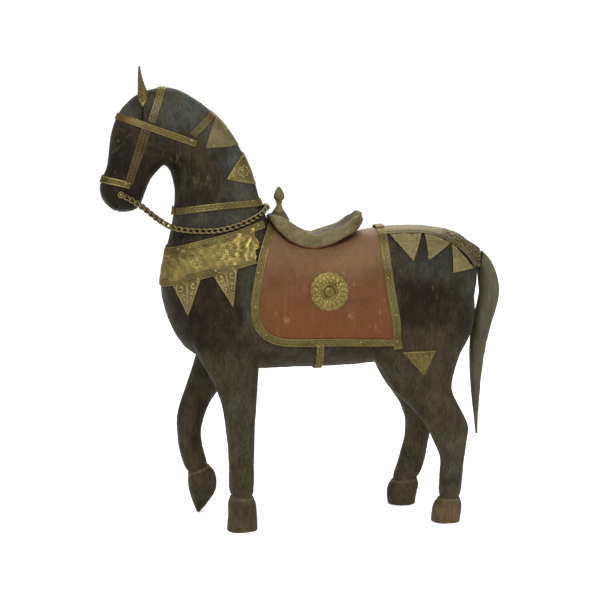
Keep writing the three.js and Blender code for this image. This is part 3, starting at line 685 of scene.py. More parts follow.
RIBS = {
    "trunk": [
        [39.4, 58.4, 38.9, 49.6, 2.8, 0], [37.4, 61.8, 37.2, 44.2, 5.9, 0],
        [34.0, 63.9, 33.4, 40.8, 7.9, 0], [29.0, 65.1, 28.3, 37.9, 9.1, 0],
        [22.3, 65.4, 21.5, 36.1, 9.5, 0], [14.4, 64.7, 14.0, 35.1, 9.7, 0],
        [5.5, 62.6, 5.6, 34.7, 9.8, 0], [-1.8, 63.1, -2.7, 34.7, 9.9, 0.04],
        [-6.4, 66.3, -10.0, 34.7, 9.9, 0.1], [-7.7, 68.5, -17.8, 36.0, 9.7, 0.15],
        [-8.3, 70.3, -25.0, 39.3, 9.2, 0.18], [-8.7, 71.6, -28.9, 45.7, 8.5, 0.18],
        [-9.1, 72.6, -30.5, 53.6, 7.8, 0.18], [-10.0, 75.7, -27.6, 67.9, 6.2, 0.16],
        [-11.1, 78.9, -27.2, 73.5, 5.4, 0.15], [-13.4, 83.4, -27.8, 77.1, 4.9, 0.14],
        [-17.2, 88.8, -28.6, 78.7, 4.7, 0.12], [-22.3, 93.1, -29.1, 79.3, 4.8, 0.1],
        [-27.4, 95.5, -29.7, 79.1, 5.1, 0.06], [-32.0, 95.3, -30.2, 78.6, 5.4, 0],
        [-35.8, 93.4, -30.8, 78.0, 5.6, -0.06], [-38.8, 90.1, -31.6, 77.1, 5.6, -0.12],
        [-40.3, 86.3, -32.3, 76.1, 5.2, -0.15], [-41.5, 78.7, -33.6, 73.1, 4.3, -0.04],
        [-42.6, 76.2, -34.1, 71.6, 4.1, 0], [-43.0, 74.1, -35.2, 70.0, 3.9, 0],
        [-42.6, 72.4, -37.6, 69.4, 3.4, 0], [-41.8, 71.1, -39.7, 69.4, 2.2, 0],
    ],
    "dock": [
        [40.6, 59.6, 39.8, 55.7, 2.1, 0], [39.4, 60.6, 38.8, 55.4, 2.4, 0], [37.0, 61.9, 36.5, 54.0, 3.2, 0],
        [33.0, 61.5, 33.0, 53.5, 4.2, 0],
    ],
    "left_foreleg": [
        [-22.0, 51.5, -12.5, 51.5, 3.0, -4.4], [-24.5, 43.9, -9.7, 42.2, 4.3, -5.3],
        [-22.5, 37.8, -9.7, 36.6, 3.9, -5.9], [-20.8, 34.8, -10.0, 33.1, 3.5, -6.3],
        [-18.9, 30.8, -10.3, 29.7, 3.1, -6.7], [-17.7, 26.4, -10.5, 26.2, 2.9, -6.8],
        [-17.1, 21.9, -10.8, 21.7, 2.7, -6.9], [-16.6, 15.7, -11.0, 15.5, 2.5, -6.9],
        [-16.5, 8.8, -11.1, 8.6, 2.5, -6.9], [-16.1, 7.6, -11.4, 7.4, 2.15, -6.9],
        [-16.8, 6.2, -10.7, 5.9, 2.75, -6.9], [-16.9, 3.2, -10.4, 3.0, 2.85, -6.9],
        [-17.2, -0.6, -10.3, -0.6, 3.1, -6.9],
    ],
    "right_foreleg": [
        [-21.5, 46.5, -11.0, 46.0, 3.4, 4.4], [-22.5, 38.9, -12.2, 36.4, 3.8, 5.2],
        [-23.4, 34.5, -14.9, 32.5, 3.4, 5.7], [-24.8, 30.3, -17.6, 28.5, 3.0, 6.2],
        [-26.2, 26.2, -19.4, 25.9, 2.8, 6.5], [-27.2, 22.4, -20.9, 22.2, 2.7, 6.8],
        [-27.2, 19.1, -21.7, 18.9, 2.6, 6.9], [-26.9, 15.6, -21.5, 15.7, 2.45, 6.9],
        [-25.8, 11.0, -20.6, 12.2, 2.4, 6.9], [-24.8, 9.3, -20.3, 11.0, 2.1, 6.9],
        [-24.9, 7.6, -19.0, 9.7, 2.6, 6.9], [-24.6, 4.6, -18.4, 8.1, 2.75, 6.9],
        [-22.9, -0.6, -18.3, 5.5, 2.6, 6.9],
    ],
    "left_hind_leg": [
        [22.5, 57.5, 33.5, 56.5, 3.0, -3.8], [18.3, 51.0, 38.0, 50.6, 4.3, -4.5],
        [16.3, 43.2, 37.5, 42.7, 4.2, -4.9], [15.6, 37.1, 34.7, 37.0, 3.9, -5.5],
        [16.9, 34.9, 33.8, 34.4, 3.7, -5.7], [19.7, 30.0, 33.0, 30.0, 3.3, -6.2],
        [22.8, 26.9, 34.1, 27.1, 3.0, -6.5], [26.9, 22.2, 36.7, 21.6, 2.6, -6.8],
        [29.0, 18.0, 36.4, 18.2, 2.4, -6.9], [30.5, 14.3, 35.9, 14.1, 2.2, -6.9],
        [30.4, 10.2, 35.6, 10.2, 2.1, -6.9], [30.3, 6.8, 35.3, 6.6, 2.1, -6.9],
        [30.5, 5.5, 35.0, 5.4, 1.8, -6.9], [29.3, 4.0, 35.5, 4.0, 2.5, -6.9],
        [28.6, -0.6, 35.1, -0.6, 2.8, -6.9],
    ],
    "right_hind_leg": [
        [21.5, 57.0, 33.0, 56.0, 3.0, 3.8], [17.2, 48.4, 36.2, 48.0, 4.3, 4.6],
        [16.7, 39.1, 33.6, 39.9, 4.0, 5.1], [18.0, 33.6, 31.3, 34.0, 3.6, 5.5],
        [20.9, 28.5, 29.8, 29.2, 3.1, 6.0], [23.6, 24.7, 29.7, 25.6, 2.8, 6.4],
        [25.4, 20.4, 31.2, 20.2, 2.5, 6.8], [25.5, 17.3, 31.4, 17.1, 2.4, 6.9],
        [24.9, 14.0, 30.8, 13.8, 2.3, 6.9], [23.9, 10.2, 30.1, 9.9, 2.2, 6.9],
        [22.9, 7.0, 29.2, 7.2, 2.2, 6.9], [22.7, 5.8, 28.4, 6.0, 1.9, 6.9], [21.6, 4.3, 28.8, 4.7, 2.5, 6.9],
        [21.4, 1.8, 28.3, 1.8, 2.6, 6.9], [21.6, -0.6, 28.0, -0.6, 2.8, 6.9],
    ],
}
PLACED = ("left_foreleg", "right_foreleg", "left_hind_leg", "right_hind_leg")
TAIL_RIBS = [
    [40.05, 55.5, 40.85, 59.8, 1.9, 0], [40.1, 54.4, 42.4, 58.3, 2.0, 0], [40.3, 52.2, 44.3, 54.9, 2.2, 0],
    [40.5, 50.4, 45.1, 51.2, 2.2, 0], [40.1, 47.9, 44.6, 47.4, 2.1, 0], [39.1, 44.1, 43.5, 43.7, 2.0, 0],
    [38.5, 38.4, 42.3, 38.3, 1.85, 0], [38.8, 31.4, 41.4, 31.4, 1.5, 0], [39.4, 25.6, 41.0, 25.6, 1.1, 0],
    [40.4, 17.9, 40.8, 17.9, 0.4, 0],
]


def carved_rows(
    ribs: Spots, placed: bool, between: int, sides: int, roundness: float = 2.3
) -> Array:
    """Rounded sections along smoothed ribs.

    Args:
        ribs: Each the two ends (x, z), the half width, and the middle y or how far it narrows upwards.
        placed: Whether a rib's last number is its middle y.
        between: How many sections there are from one rib to the next.
        sides: How many points a section has.
        roundness: The power of the section's curve, 2 for an ellipse.

    Returns:
        The sections in metres, shape (sections, sides, 3).
    """
    smooth = spline(np.array(ribs, float), (len(ribs) - 1) * between + 1)
    angle = np.linspace(0, TURN, sides, endpoint=False)
    up = np.sign(np.cos(angle)) * np.abs(np.cos(angle)) ** (2 / roundness)
    out = np.sign(np.sin(angle)) * np.abs(np.sin(angle)) ** (2 / roundness)
    rows = np.empty((len(smooth), sides, 3))
    for row, (high_x, high_z, low_x, low_z, half, extra) in zip(rows, smooth):
        lean = 0.0 if placed else extra
        row[:, 0] = (high_x + low_x) / 2 + up * (high_x - low_x) / 2
        row[:, 2] = (high_z + low_z) / 2 + up * (high_z - low_z) / 2
        row[:, 1] = out * half * (1 - lean * np.cos(angle)) + (extra if placed else 0.0)
    rows *= SHARE
    rows[..., 0] += SHIFT
    return rows


@dataclass
class CarvedBody:
    """The trunk, neck, head and legs, carved as one."""

    cell: float = 0.0024
    sections_between: int = 5
    sides: int = 44
    smoothing: int = 5

    def block(self) -> Piece:
        """Joins the lofted forms into one smooth skin cut flat under the hooves."""
        forms = [
            Bench.loft(name, carved_rows(ribs, name in PLACED, self.sections_between, self.sides))
            for name, ribs in RIBS.items()
        ]
        body = Bench.join("carved_horse", forms)
        Bench.apply(body, "REMESH", mode="VOXEL", voxel_size=self.cell, adaptivity=0.0)
        Bench.apply(body, "SMOOTH", factor=0.5, iterations=self.smoothing)
        with Bench.editing(body):
            bpy.ops.mesh.bisect(plane_co=(0, 0, 0.0001), plane_no=(0, 0, -1), use_fill=True, clear_outer=True)
        return body


# Sheet metal


@dataclass
class Patch:
    """Points of a sheet on the carved form, with their places along and across it."""

    points: Array
    normals: Array
    run: Array
    across: Array
    half: Array

    @property
    def edge(self) -> Array:
        """The distance from the sheet's nearer long edge."""
        return self.half - np.abs(self.across)

    @property
    def ends(self) -> Array:
        """The distance from the sheet's nearer end."""
        return np.minimum(self.run, self.run.max() - self.run)

    def from_place(self, x: float, z: float) -> Array:
        """The distance from a place in the side view."""
        here = side_point(x, z)
        return np.hypot(self.points[..., 0] - here[0], self.points[..., 2] - here[2])

    def turn_about(self, x: float, z: float) -> Array:
        """The angle about a place in the side view."""
        here = side_point(x, z)
        return np.arctan2(self.points[..., 2] - here[2], self.points[..., 0] - here[0])


def offset_line(line: Array, distance: Array) -> Array:
    """Moves a side-view line sideways by a distance at each of its points."""
    ahead = np.gradient(line, axis=0)
    ahead /= np.linalg.norm(ahead, axis=1, keepdims=True) + 1e-12
    return line + np.stack([-ahead[:, 1], ahead[:, 0]], axis=1) * np.asarray(distance)[..., None]


def strap_guides(middle: Spots, width: float, foot: float | None = None) -> Array:
    """The two long edges of a strap that follows a middle line and may taper."""
    line = spline(side_line(middle), 48)
    widths = np.linspace(width, width if foot is None else foot, len(line))
    return np.stack([offset_line(line, -widths / 2), offset_line(line, widths / 2)])


def pair_guides(feet: Spots, tops: Spots) -> Array:
    """Straight guides from a row of feet to a row of tops."""
    return np.stack([side_line(feet), side_line(tops)], axis=1)


class Skin:
    """The carved surface, on which sheets are laid."""

    def __init__(self, body: Piece) -> None:
        """Keeps a search tree of the carved surface."""
        self.tree = Bench.tree(body)

    def flank(self, x: float, z: float, side: int) -> tuple[Array, Array] | None:
        """The outermost point of a flank at a place, in metres, and its normal."""
        place, normal, _, _ = self.tree.ray_cast(Vector((x, side * FAR_SIDE, z)), Vector((0, -side, 0)))
        return None if place is None else (np.array(place), np.array(normal))

    def outwards(self, x: float, z: float, way: Array) -> tuple[Array, Array] | None:
        """Where a ray from inside the wood comes out."""
        place, normal, _, _ = self.tree.ray_cast(Vector((x, 0.0, z)), Vector(way))
        return None if place is None else (np.array(place), np.array(normal))

    def gap(self, point: Array) -> tuple[float, Array]:
        """How far a point is off the wood, less than nothing inside, and the way off it."""
        place, normal, _, distance = self.tree.find_nearest(Vector(point))
        way = np.array(normal)
        sign = 1.0 if float(np.dot(point - np.array(place), way)) >= 0 else -1.0
        return sign * distance, way

    def span(self, line: Array) -> tuple[float, float]:
        """The stretch of a side-view line that crosses the wood."""
        places = np.arange(0.0, length_of(line), MM)
        spots = along(line, places)
        inside = [self.flank(x, z, LEFT) is not None for x, z in spots]
        hits = np.flatnonzero(inside)
        return float(places[hits[0]]), float(places[hits[-1]])

    def lay(
        self,
        guides: Array,
        reach: Reach,
        side: int = LEFT,
        step: float = 0.0009,
        across: int = 12,
        fan: float = 0.012,
    ) -> Patch:
        """Lays a sheet on the wood.

        Args:
            guides: Lines of the side view that run along the sheet, shape (lines, points, 2).
            reach: How it runs round the form.
            side: The flank that a one-sided sheet lies on.
            step: The distance between points along it.
            across: How many faces wide it is.
            fan: How deep under the edge of the form the rays that go round it start.

        Returns:
            The laid patch, whose rows run along it.
        """
        shares = np.linspace(0, len(guides) - 1, across + 1)
        low = np.minimum(shares.astype(int), len(guides) - 2)
        part = (shares - low)[:, None, None]
        lines = guides[low] * (1 - part) + guides[low + 1] * part
        spans = [self.span(line) if reach is not Reach.FLANK else (0.0, length_of(line)) for line in lines]
        segments = {Reach.FLANK: 1, Reach.HALF: 2, Reach.ARCH: 3, Reach.HOOP: 4}[reach]

        def row(index: int, turns: Array) -> tuple[Array, Array]:
            """Casts one line at places from 0 to the number of segments."""
            line, (start, end) = lines[index], spans[index]
            depth = min(fan, (0.35 if reach is Reach.HOOP else 0.7) * (end - start))
            begin = start + depth if reach is Reach.HOOP else 0.0
            finish = end - depth if reach is not Reach.FLANK else end
            swing = math.pi / 2 if reach is Reach.HALF else math.pi
            places, normals = [], []
            for turn in turns:
                segment = min(int(turn), segments - 1)
                share = turn - segment
                place, angle = (
                    (begin + share * (finish - begin), 0.0),
                    (finish, share * swing),
                    (finish - share * (finish - begin), math.pi),
                    (begin, math.pi * (1 + share)),
                )[segment]
                found = self.cast(line, place, angle, side)
                if found is None:
                    found = (places[-1], normals[-1]) if places else self.nearest(line, place, side)
                places.append(found[0])
                normals.append(found[1])
            return np.array(places), np.array(normals)

        middle = len(lines) // 2
        dense = np.linspace(0, segments, 360 if reach is not Reach.FLANK else 120)
        trace, _ = row(middle, dense)
        reached = np.concatenate([[0.0], np.cumsum(np.linalg.norm(np.diff(trace, axis=0), axis=1))])
        columns = max(3, round(reached[-1] / step) + 1)
        wanted = np.linspace(0, reached[-1], columns)
        turns = np.interp(wanted, reached + np.arange(len(reached)) * 1e-12, dense)
        rows = [row(index, turns) for index in range(len(lines))]
        points = np.stack([places for places, _ in rows])
        normals = np.stack([ways for _, ways in rows])
        closed = reach is Reach.HOOP
        if side == RIGHT and reach in (Reach.FLANK, Reach.HALF):
            points, normals = points[::-1], normals[::-1]
        points = self.eased(points, closed, 2)
        normals = self.eased(normals, closed, 8)
        normals /= np.linalg.norm(normals, axis=-1, keepdims=True) + 1e-12
        width = np.linalg.norm(np.diff(points, axis=0), axis=-1).sum(axis=0)
        share_across = np.linspace(-0.5, 0.5, across + 1)[:, None]
        return Patch(
            points=points,
            normals=normals,
            run=np.broadcast_to(wanted, points.shape[:2]),
            across=share_across * width,
            half=np.broadcast_to(width / 2, points.shape[:2]),
        )

    def cast(
        self, line: Array, place: float, angle: float, side: int
    ) -> tuple[Array, Array] | None:
        """Casts a ray at a place of a line: 0 looks out of its own flank and pi out of the other."""
        x, z = along(line, np.array([place]))[0]
        if angle < 1e-6:
            return self.flank(x, z, side)
        if abs(angle - math.pi) < 1e-6:
            return self.flank(x, z, -side)
        ahead = along(line, np.array([place, place + MM]))
        ahead = (ahead[1] - ahead[0]) / MM
        way = np.array([math.sin(angle) * ahead[0], side * math.cos(angle), math.sin(angle) * ahead[1]])
        return self.outwards(x, z, way)

    def nearest(self, line: Array, place: float, side: int) -> tuple[Array, Array]:
        """The point of the wood nearest a place beside it."""
        x, z = along(line, np.array([place]))[0]
        found, normal, _, _ = self.tree.find_nearest(Vector((x, side * 0.01, z)))
        return np.array(found), np.array(normal)

    @staticmethod
    def eased(values: Array, closed: bool, times: int) -> Array:
        """Evens out a grid of values along its rows and inside its columns."""
        for _ in range(times):
            if closed:
                loop = values[:, :-1]
                loop = 0.5 * loop + 0.25 * (np.roll(loop, 1, axis=1) + np.roll(loop, -1, axis=1))
                values = np.concatenate([loop, loop[:, :1]], axis=1)
            else:
                inner = 0.5 * values[:, 1:-1] + 0.25 * (values[:, :-2] + values[:, 2:])
                values = np.concatenate([values[:, :1], inner, values[:, -1:]], axis=1)
        return values


# Embossing, as heights over the sheet


def borders(
    patch: Patch, inset: float = 0.0012, width: float = 0.00045, height: float = 0.00045
) -> Array:
    """A raised line inside each long edge."""
    return height * ridge(patch.edge - inset, width)


def vine(patch: Patch, pitch: float = 0.009, height: float = 0.0005, wide: float = 0.5) -> Array:
    """A running stem with a curl in each bend."""
    half = patch.half * wide
    stem = ridge(patch.across - 0.75 * half * np.sin(patch.run / pitch * TURN), 0.00042)
    bend = np.floor(patch.run / (pitch / 2))
    middle = (bend + 0.5) * pitch / 2
    away = np.where(bend % 2 == 0, -1.0, 1.0) * 0.45 * half
    radius = np.hypot(patch.run - middle, patch.across - away)
    curl = ridge(radius - 0.0012, 0.0004)
    dot = ridge(radius, 0.0005)
    inside = patch.edge > 0.0014
    return height * np.where(inside, np.maximum(np.maximum(stem, 0.9 * curl), dot), 0.0)


def beads(patch: Patch, pitch: float = 0.0036, size: float = 0.0011, height: float = 0.0006) -> Array:
    """A row of round beads down the middle."""
    step = (patch.run / pitch) % 1.0 - 0.5
    return height * ridge(np.hypot(step * pitch, patch.across), size)


def leaves(patch: Patch, pitch: float = 0.006, height: float = 0.0005) -> Array:
    """Pointed leaves laid end to end, each with its rib."""
    step = np.abs((patch.run / pitch) % 1.0 - 0.5) * 2
    outline = 0.62 * patch.half * (1 - step**1.6)
    leaf = ridge(np.abs(patch.across) - outline, 0.0004)
    rib = 0.6 * ridge(patch.across, 0.0003) * (step < 0.8)
    return height * np.where(patch.edge > 0.0014, np.maximum(leaf, rib), 0.0)


def flower(patch: Patch, x: float, z: float, radius: float, petals: int, height: float) -> Array:
    """A stamped flower at a place of the side view."""
    away, turn = patch.from_place(x, z), patch.turn_about(x, z)
    outline = radius * (0.74 + 0.26 * np.abs(np.cos(turn * petals / 2)))
    rim = ridge(away - outline, 0.0006)
    heart = ridge(away - 0.3 * radius, 0.0005) + ridge(away, 0.0006)
    veins = ridge(np.sin(turn * petals / 2), 0.3) * (away > 0.36 * radius) * (away < 0.9 * outline) * 0.7
    inner = 0.6 * ridge(away - 0.62 * outline, 0.0005)
    return height * np.clip(np.maximum.reduce([rim, heart, veins, inner]), 0, 1)


def dents(patch: Patch, pitch: float, height: float, seed: int) -> Array:
    """The slow waves of sheet beaten by hand."""
    return height * (0.5 + 0.5 * bump_noise(patch.points, pitch, seed))


def beaten(patch: Patch, height: float, seed: int) -> Array:
    """The small uneven marks of a hammer."""
    return dents(patch, 0.0052, height, seed) * dents(patch, 0.0085, 1.6, seed + 1)


def polyline_distance(places: Array, line: Array) -> Array:
    """The distance of points from a line, both seen from the side, the line as (x, z) in metres."""
    spots = places[..., [0, 2]]
    best = np.full(spots.shape[:-1], 1.0)
    for start, end in zip(line[:-1], line[1:]):
        way = end - start
        share = np.clip(((spots - start) @ way) / float(way @ way), 0, 1)
        best = np.minimum(best, np.linalg.norm(spots - start - share[..., None] * way, axis=-1))
    return best


def outline_distance(patch: Patch, corners: Array) -> Array:
    """The distance in the side view from the nearest side of an outline."""
    return polyline_distance(patch.points, np.concatenate([corners, corners[:1]]))


@dataclass
class SheetShop:
    """Cuts, embosses and lays sheets of metal."""

    skin: Skin
    contrast: float = 0.0006

    @staticmethod
    def blurred(height: Array) -> Array:
        """Heights evened out over a few points each way."""
        for _ in range(6):
            padded = np.pad(height, 1, mode="edge")
            beside = padded[:-2, 1:-1] + padded[2:, 1:-1] + padded[1:-1, :-2] + padded[1:-1, 2:]
            height = 0.5 * height + 0.125 * beside
        return height

    def form(
        self,
        name: str,
        patch: Patch,
        height: Array,
        lift: float = GAP,
        thick: float = SHEET,
        softness: float = 1.0,
    ) -> Piece:
        """Turns a laid patch into a sheet with thickness.

        Args:
            name: The piece's name.
            patch: Where it lies.
            height: How far each point is raised.
            lift: How far its back is off the wood.
            thick: The sheet's thickness.
            softness: How faintly painted shade and highlight, with grime and wear, draw its relief.

        Returns:
            The new piece, closed all round.
        """
        outer = patch.points + patch.normals * (lift + thick + height)[..., None]
        middle = outer.shape[0] // 2, outer.shape[1] // 2
        first = np.cross(
            outer[middle[0], middle[1] + 1] - outer[middle], outer[middle[0] + 1, middle[1]] - outer[middle]
        )
        # Relief as the finish reads it: above the blurred sheet it paints highlight, below it paints shade.
        relief = np.clip(0.5 + (height - self.blurred(height)) / (self.contrast * softness), 0, 1)
        if float(first @ patch.normals[middle]) < 0:
            outer, relief = outer[::-1], relief[::-1]
        piece = Bench.grid(name, outer)
        Bench.note(piece, "relief", relief.reshape(-1))
        with Bench.editing(piece):
            bpy.ops.mesh.remove_doubles(threshold=2e-5)
        Bench.apply(piece, "SOLIDIFY", thickness=thick, offset=-1.0, use_even_offset=False)
        return piece

    def strap(
        self,
        name: str,
        guides: Array,
        reach: Reach,
        pattern: Height,
        side: int = LEFT,
        lift: float = GAP,
        thick: float = SHEET,
        across: int = 14,
        step: float = 0.0008,
    ) -> Piece:
        """Lays and embosses a strap.

        Args:
            name: The piece's name.
            guides: Its long edges in the side view.
            reach: How it runs round the form.
            pattern: Gives its relief.
            side: The flank of a one-sided strap.
            lift: How far its back is off the wood.
            thick: Its thickness.
            across: How many faces wide it is.
            step: The length of its faces.

        Returns:
            The new piece.
        """
        patch = self.skin.lay(guides, reach, side, step, across)
        height = pattern(patch) + dents(patch, 0.03, 0.00025, len(name))
        return self.form(name, patch, height, lift, thick)


# Carved details

# Places in the side view whose wood is coloured: x, z, how far each way and how strongly. The first list
# greys it, with painted sheen; the next two are reddish wear and scuffs; the last is painted shade.
GREYED = [
    (-25.5, 90.3, 5.2, 4.2, 1.0), (-19.0, 85.8, 2.2, 3.0, 0.9), (-13.2, 79.0, 4.2, 6.5, 0.95),
    (-17.5, 68.2, 11.0, 2.2, 0.7), (-31.5, 50.0, 2.6, 7.0, 0.8), (-12.2, 53.5, 2.0, 8.0, 0.85),
    (27.5, 57.6, 8.0, 3.6, 0.65), (36.5, 51.5, 2.5, 5.0, 0.6), (-37.2, 90.5, 2.5, 2.5, 0.6),
    (-13.0, 74.0, 4.0, 3.0, 0.8), (-14.0, 34.0, 3.5, 9.0, 0.3), (33.0, 12.0, 3.5, 9.0, 0.3),
]
REDDENED = [
    (-22.0, 47.5, 7.0, 7.5, 0.9), (23.5, 51.5, 5.0, 6.0, 0.8), (29.0, 46.0, 6.0, 6.0, 0.5),
    (-38.6, 83.0, 3.2, 6.5, 0.5), (-28.0, 79.5, 4.5, 3.5, 0.5), (-21.0, 77.0, 3.5, 5.5, 0.5),
    (31.5, 1.5, 3.0, 2.5, 0.9), (-39.0, 73.0, 3.0, 3.0, 0.4),
]
SCUFFED = [
    (-22.5, 77.8, 3.6, 5.0, 0.8), (-27.0, 81.0, 5.0, 2.6, 0.9), (-38.6, 76.5, 3.0, 6.0, 0.5),
    (-18.0, 73.0, 4.0, 4.0, 0.4), (29.0, 53.0, 4.5, 4.0, 0.6), (-22.5, 32.0, 3.0, 6.0, 0.5),
    (-13.8, 30.0, 3.0, 14.0, 0.4), (25.0, 30.0, 8.0, 9.0, 0.4),
]
# Painted shade: darker zones of the side view.
PAINTED_SHADE_SPOTS = [
    (-37.5, 81.0, 5.0, 8.0, 0.75), (-28.5, 79.5, 6.5, 4.0, 0.85), (-22.0, 47.0, 8.0, 8.5, 0.9),
    (-13.0, 56.0, 2.6, 9.0, 0.5), (26.0, 51.0, 7.0, 7.5, 0.75), (35.0, 47.0, 3.5, 7.0, 0.6),
    (-22.0, 74.0, 3.5, 4.0, 0.4), (-25.0, 28.0, 3.0, 10.0, 0.5), (-38.5, 72.0, 4.0, 3.0, 0.7),
    (-23.5, 24.0, 4.5, 20.0, 0.55), (27.5, 22.0, 4.0, 16.0, 0.1), (-14.0, 41.0, 4.0, 5.0, 0.4),
    (-16.0, 49.0, 3.5, 8.0, 0.75),
]


def blobs(places: Array, spots: Spots) -> Array:
    """How strongly each point lies in soft spots of the side view."""
    x, z = (places[:, 0] - SHIFT) / SHARE, places[:, 2] / SHARE
    amount = np.zeros(len(places))
    for spot_x, spot_z, wide, tall, weight in spots:
        away = ((x - spot_x) / wide) ** 2 + ((z - spot_z) / tall) ** 2
        amount = np.maximum(amount, weight * np.exp(-(away**1.5)))
    return amount


def line_distance(places: Array, line: Spots) -> Array:
    """The distance in the side view from a line given in hundredths of the stature."""
    return polyline_distance(places, side_line(line))


def drawn(places: Array, lines: Sequence[Spots], width: float) -> Array:
    """A soft ridge along lines of the side view."""
    return ridge(np.minimum.reduce([line_distance(places, line) for line in lines]), width)


@dataclass
class Carver:
    """Cuts the details of the head, the crack, the coronets and the marks of the tools into the body."""

    body: Piece
    skin: Skin
    bead: float = 0.003
    bead_rise: float = 0.0024
    socket_radius: float = 0.0062
    socket_depth: float = 0.0016
    ring: float = 0.0068
    line_reach: float = 0.003
    cheek: float = 0.004
    coronet_width: float = 0.0013
    curl_pitch: float = 0.0052

    crack = ([-33.65, 91.7], [-33.75, 90.4], [-33.7, 89.0]), ([-33.85, 87.4], [-33.8, 86.0])
    mouth = ([-39.6, 68.3], [-39.5, 70.0], [-39.4, 71.2])
    lids = ([-37.2, 85.2], [-36.6, 85.7], [-35.8, 86.0]), ([-40.1, 82.2], [-39.2, 82.8], [-38.4, 83.6])
    brow = ([-40.6, 86.1], [-39.6, 86.9], [-38.4, 87.0], [-37.2, 86.4])
    frieze = ([-32.6, 83.2], [-29.0, 81.6], [-24.6, 80.2])
    nostril = ([-42.1, 74.3], [-41.6, 73.5], [-41.9, 72.9])
    socket = ([-39.6, 84.2], [-38.2, 85.0])
    eye = (-38.9, 84.6)
    coronets = (
        (LEFT, (([-17.2, 7.7], [-10.2, 7.5]), ([29.2, 5.6], [36.2, 5.45]))),
        (RIGHT, (([-25.6, 9.0], [-19.4, 11.4]), ([21.8, 5.85], [29.2, 6.1]))),
    )
    hooves = ((31.8, 1.6, 4.0, 3.2, 0.75), (-13.8, 1.5, 4.0, 3.0, 0.2))

    def work(self) -> None:
        """Refines the head, then carves and colours everything."""
        self.refine()
        self.cut()
        self.colour()

    def refine(self) -> None:
        """Splits the faces near fine carving."""
        places = Bench.points(self.body)
        near = np.zeros(len(places), bool)
        lines = (*self.lids, self.brow, self.mouth, *self.crack, self.nostril)
        fine = [(line, self.line_reach) for line in lines]
        for line, reach in (*fine, (self.frieze, 2 * self.line_reach), (self.socket, 0.008)):
            near |= line_distance(places, line) < reach
        Bench.refine(self.body, near & (np.abs(places[:, 1]) > self.cheek), 2)
        Bench.apply(self.body, "SMOOTH", factor=0.5, iterations=2)

    def cut(self) -> None:
        """Moves the surface in and out along its normals."""
        places, normals = Bench.points(self.body), Bench.normals(self.body)
        flat = np.abs(normals[:, 1]) > 0.25
        depth = 0.00035 * bump_noise(places, 0.05, 21) + 0.00016 * bump_noise(places, 0.016, 22)
        bead, ring = np.zeros(len(places)), np.zeros(len(places))
        for way in (LEFT, RIGHT):
            spot, _ = self.skin.flank(*side_point(*self.eye)[[0, 2]], way)
            away = np.linalg.norm(places - spot, axis=1)
            depth -= self.socket_depth * ridge(away, self.socket_radius)
            depth += 0.0009 * ridge(away - self.ring, 0.0011)
            depth += self.bead_rise * np.sqrt(np.clip(1 - (away / self.bead) ** 2, 0, 1))
            bead = np.maximum(bead, ridge(away, 0.8 * self.bead))
            ring = np.maximum(ring, ridge(away - 1.4 * self.bead, 0.4 * self.bead))
        lids, brow = drawn(places, self.lids, 0.0006), drawn(places, [self.brow], 0.0011)
        crack, mouth = drawn(places, self.crack, 0.0005), drawn(places, [self.mouth], 0.0007)
        nostril = drawn(places, [self.nostril], 0.0010)
        frieze = self.frieze_relief(places)
        grooves, self.rims = np.zeros(len(places)), np.zeros(len(places))
        for side, lines in self.coronets:
            mine = places[:, 1] * side > 0
            under = [[[x, z - 0.45] for x, z in line] for line in lines]
            grooves += mine * drawn(places, lines, self.coronet_width)
            self.rims += mine * drawn(places, under, self.coronet_width)
        depth += 0.0009 * self.rims - 0.0013 * grooves
        depth += flat * (0.0007 * lids + 0.0007 * brow - 0.0007 * frieze - 0.0011 * nostril)
        depth -= 0.0022 * crack * flat + 0.0018 * mouth
        Bench.move(self.body, places + normals * depth[:, None])
        # Painted shade in the crack, nostril, frieze grooves, mouth and the ring round the eye bead.
        self.dark = np.clip(flat * (crack + 0.4 * nostril + 0.6 * frieze) + mouth + 0.8 * ring, 0, 1)
        self.worn = flat * np.clip(0.5 * lids + 0.2 * brow + 0.55 * bead, 0, 1)

    def frieze_relief(self, places: Array) -> Array:
        """A row of small curls under the brow band."""
        start, _, end = side_line(self.frieze)
        length = np.linalg.norm(end - start)
        way = (end - start) / length
        spots = places[:, [0, 2]] - start
        run, off = spots @ way, spots @ np.array([-way[1], way[0]])
        off = off + 0.0012 * np.sin(run / length * math.pi)
        step = (run / self.curl_pitch) % 1.0 - 0.5
        curl = ridge(np.hypot(step * self.curl_pitch, off) - 0.0018, 0.00055)
        stem = ridge(off + 0.0022 * np.cos(step * TURN), 0.0005)
        return (run > 0) * (run < length) * np.clip(curl + 0.6 * stem, 0, 1)

    def colour(self) -> None:
        """Notes where the wood is greyed with painted sheen, reddened, scuffed, darkened by painted shade,
        and worn.
        """
        places = Bench.points(self.body)
        toe = blobs(places, self.hooves) * (places[:, 1] < 0)
        for name, values in (
            # Grey bloom with painted sheen.
            ("patina_and_sheen", np.clip(blobs(places, GREYED) + 0.1, 0, 1)),
            ("warmth", blobs(places, REDDENED)),
            # Painted shade in broad zones.
            ("deep", blobs(places, PAINTED_SHADE_SPOTS)),
            ("scuffed", blobs(places, SCUFFED)),
            # Painted shade in the grooves.
            ("painted_hollow_shade", self.dark),
            ("worn", np.clip(self.worn + 0.75 * self.rims + toe, 0, 1)),
        ):
            Bench.note(self.body, name, values)


# The pieces


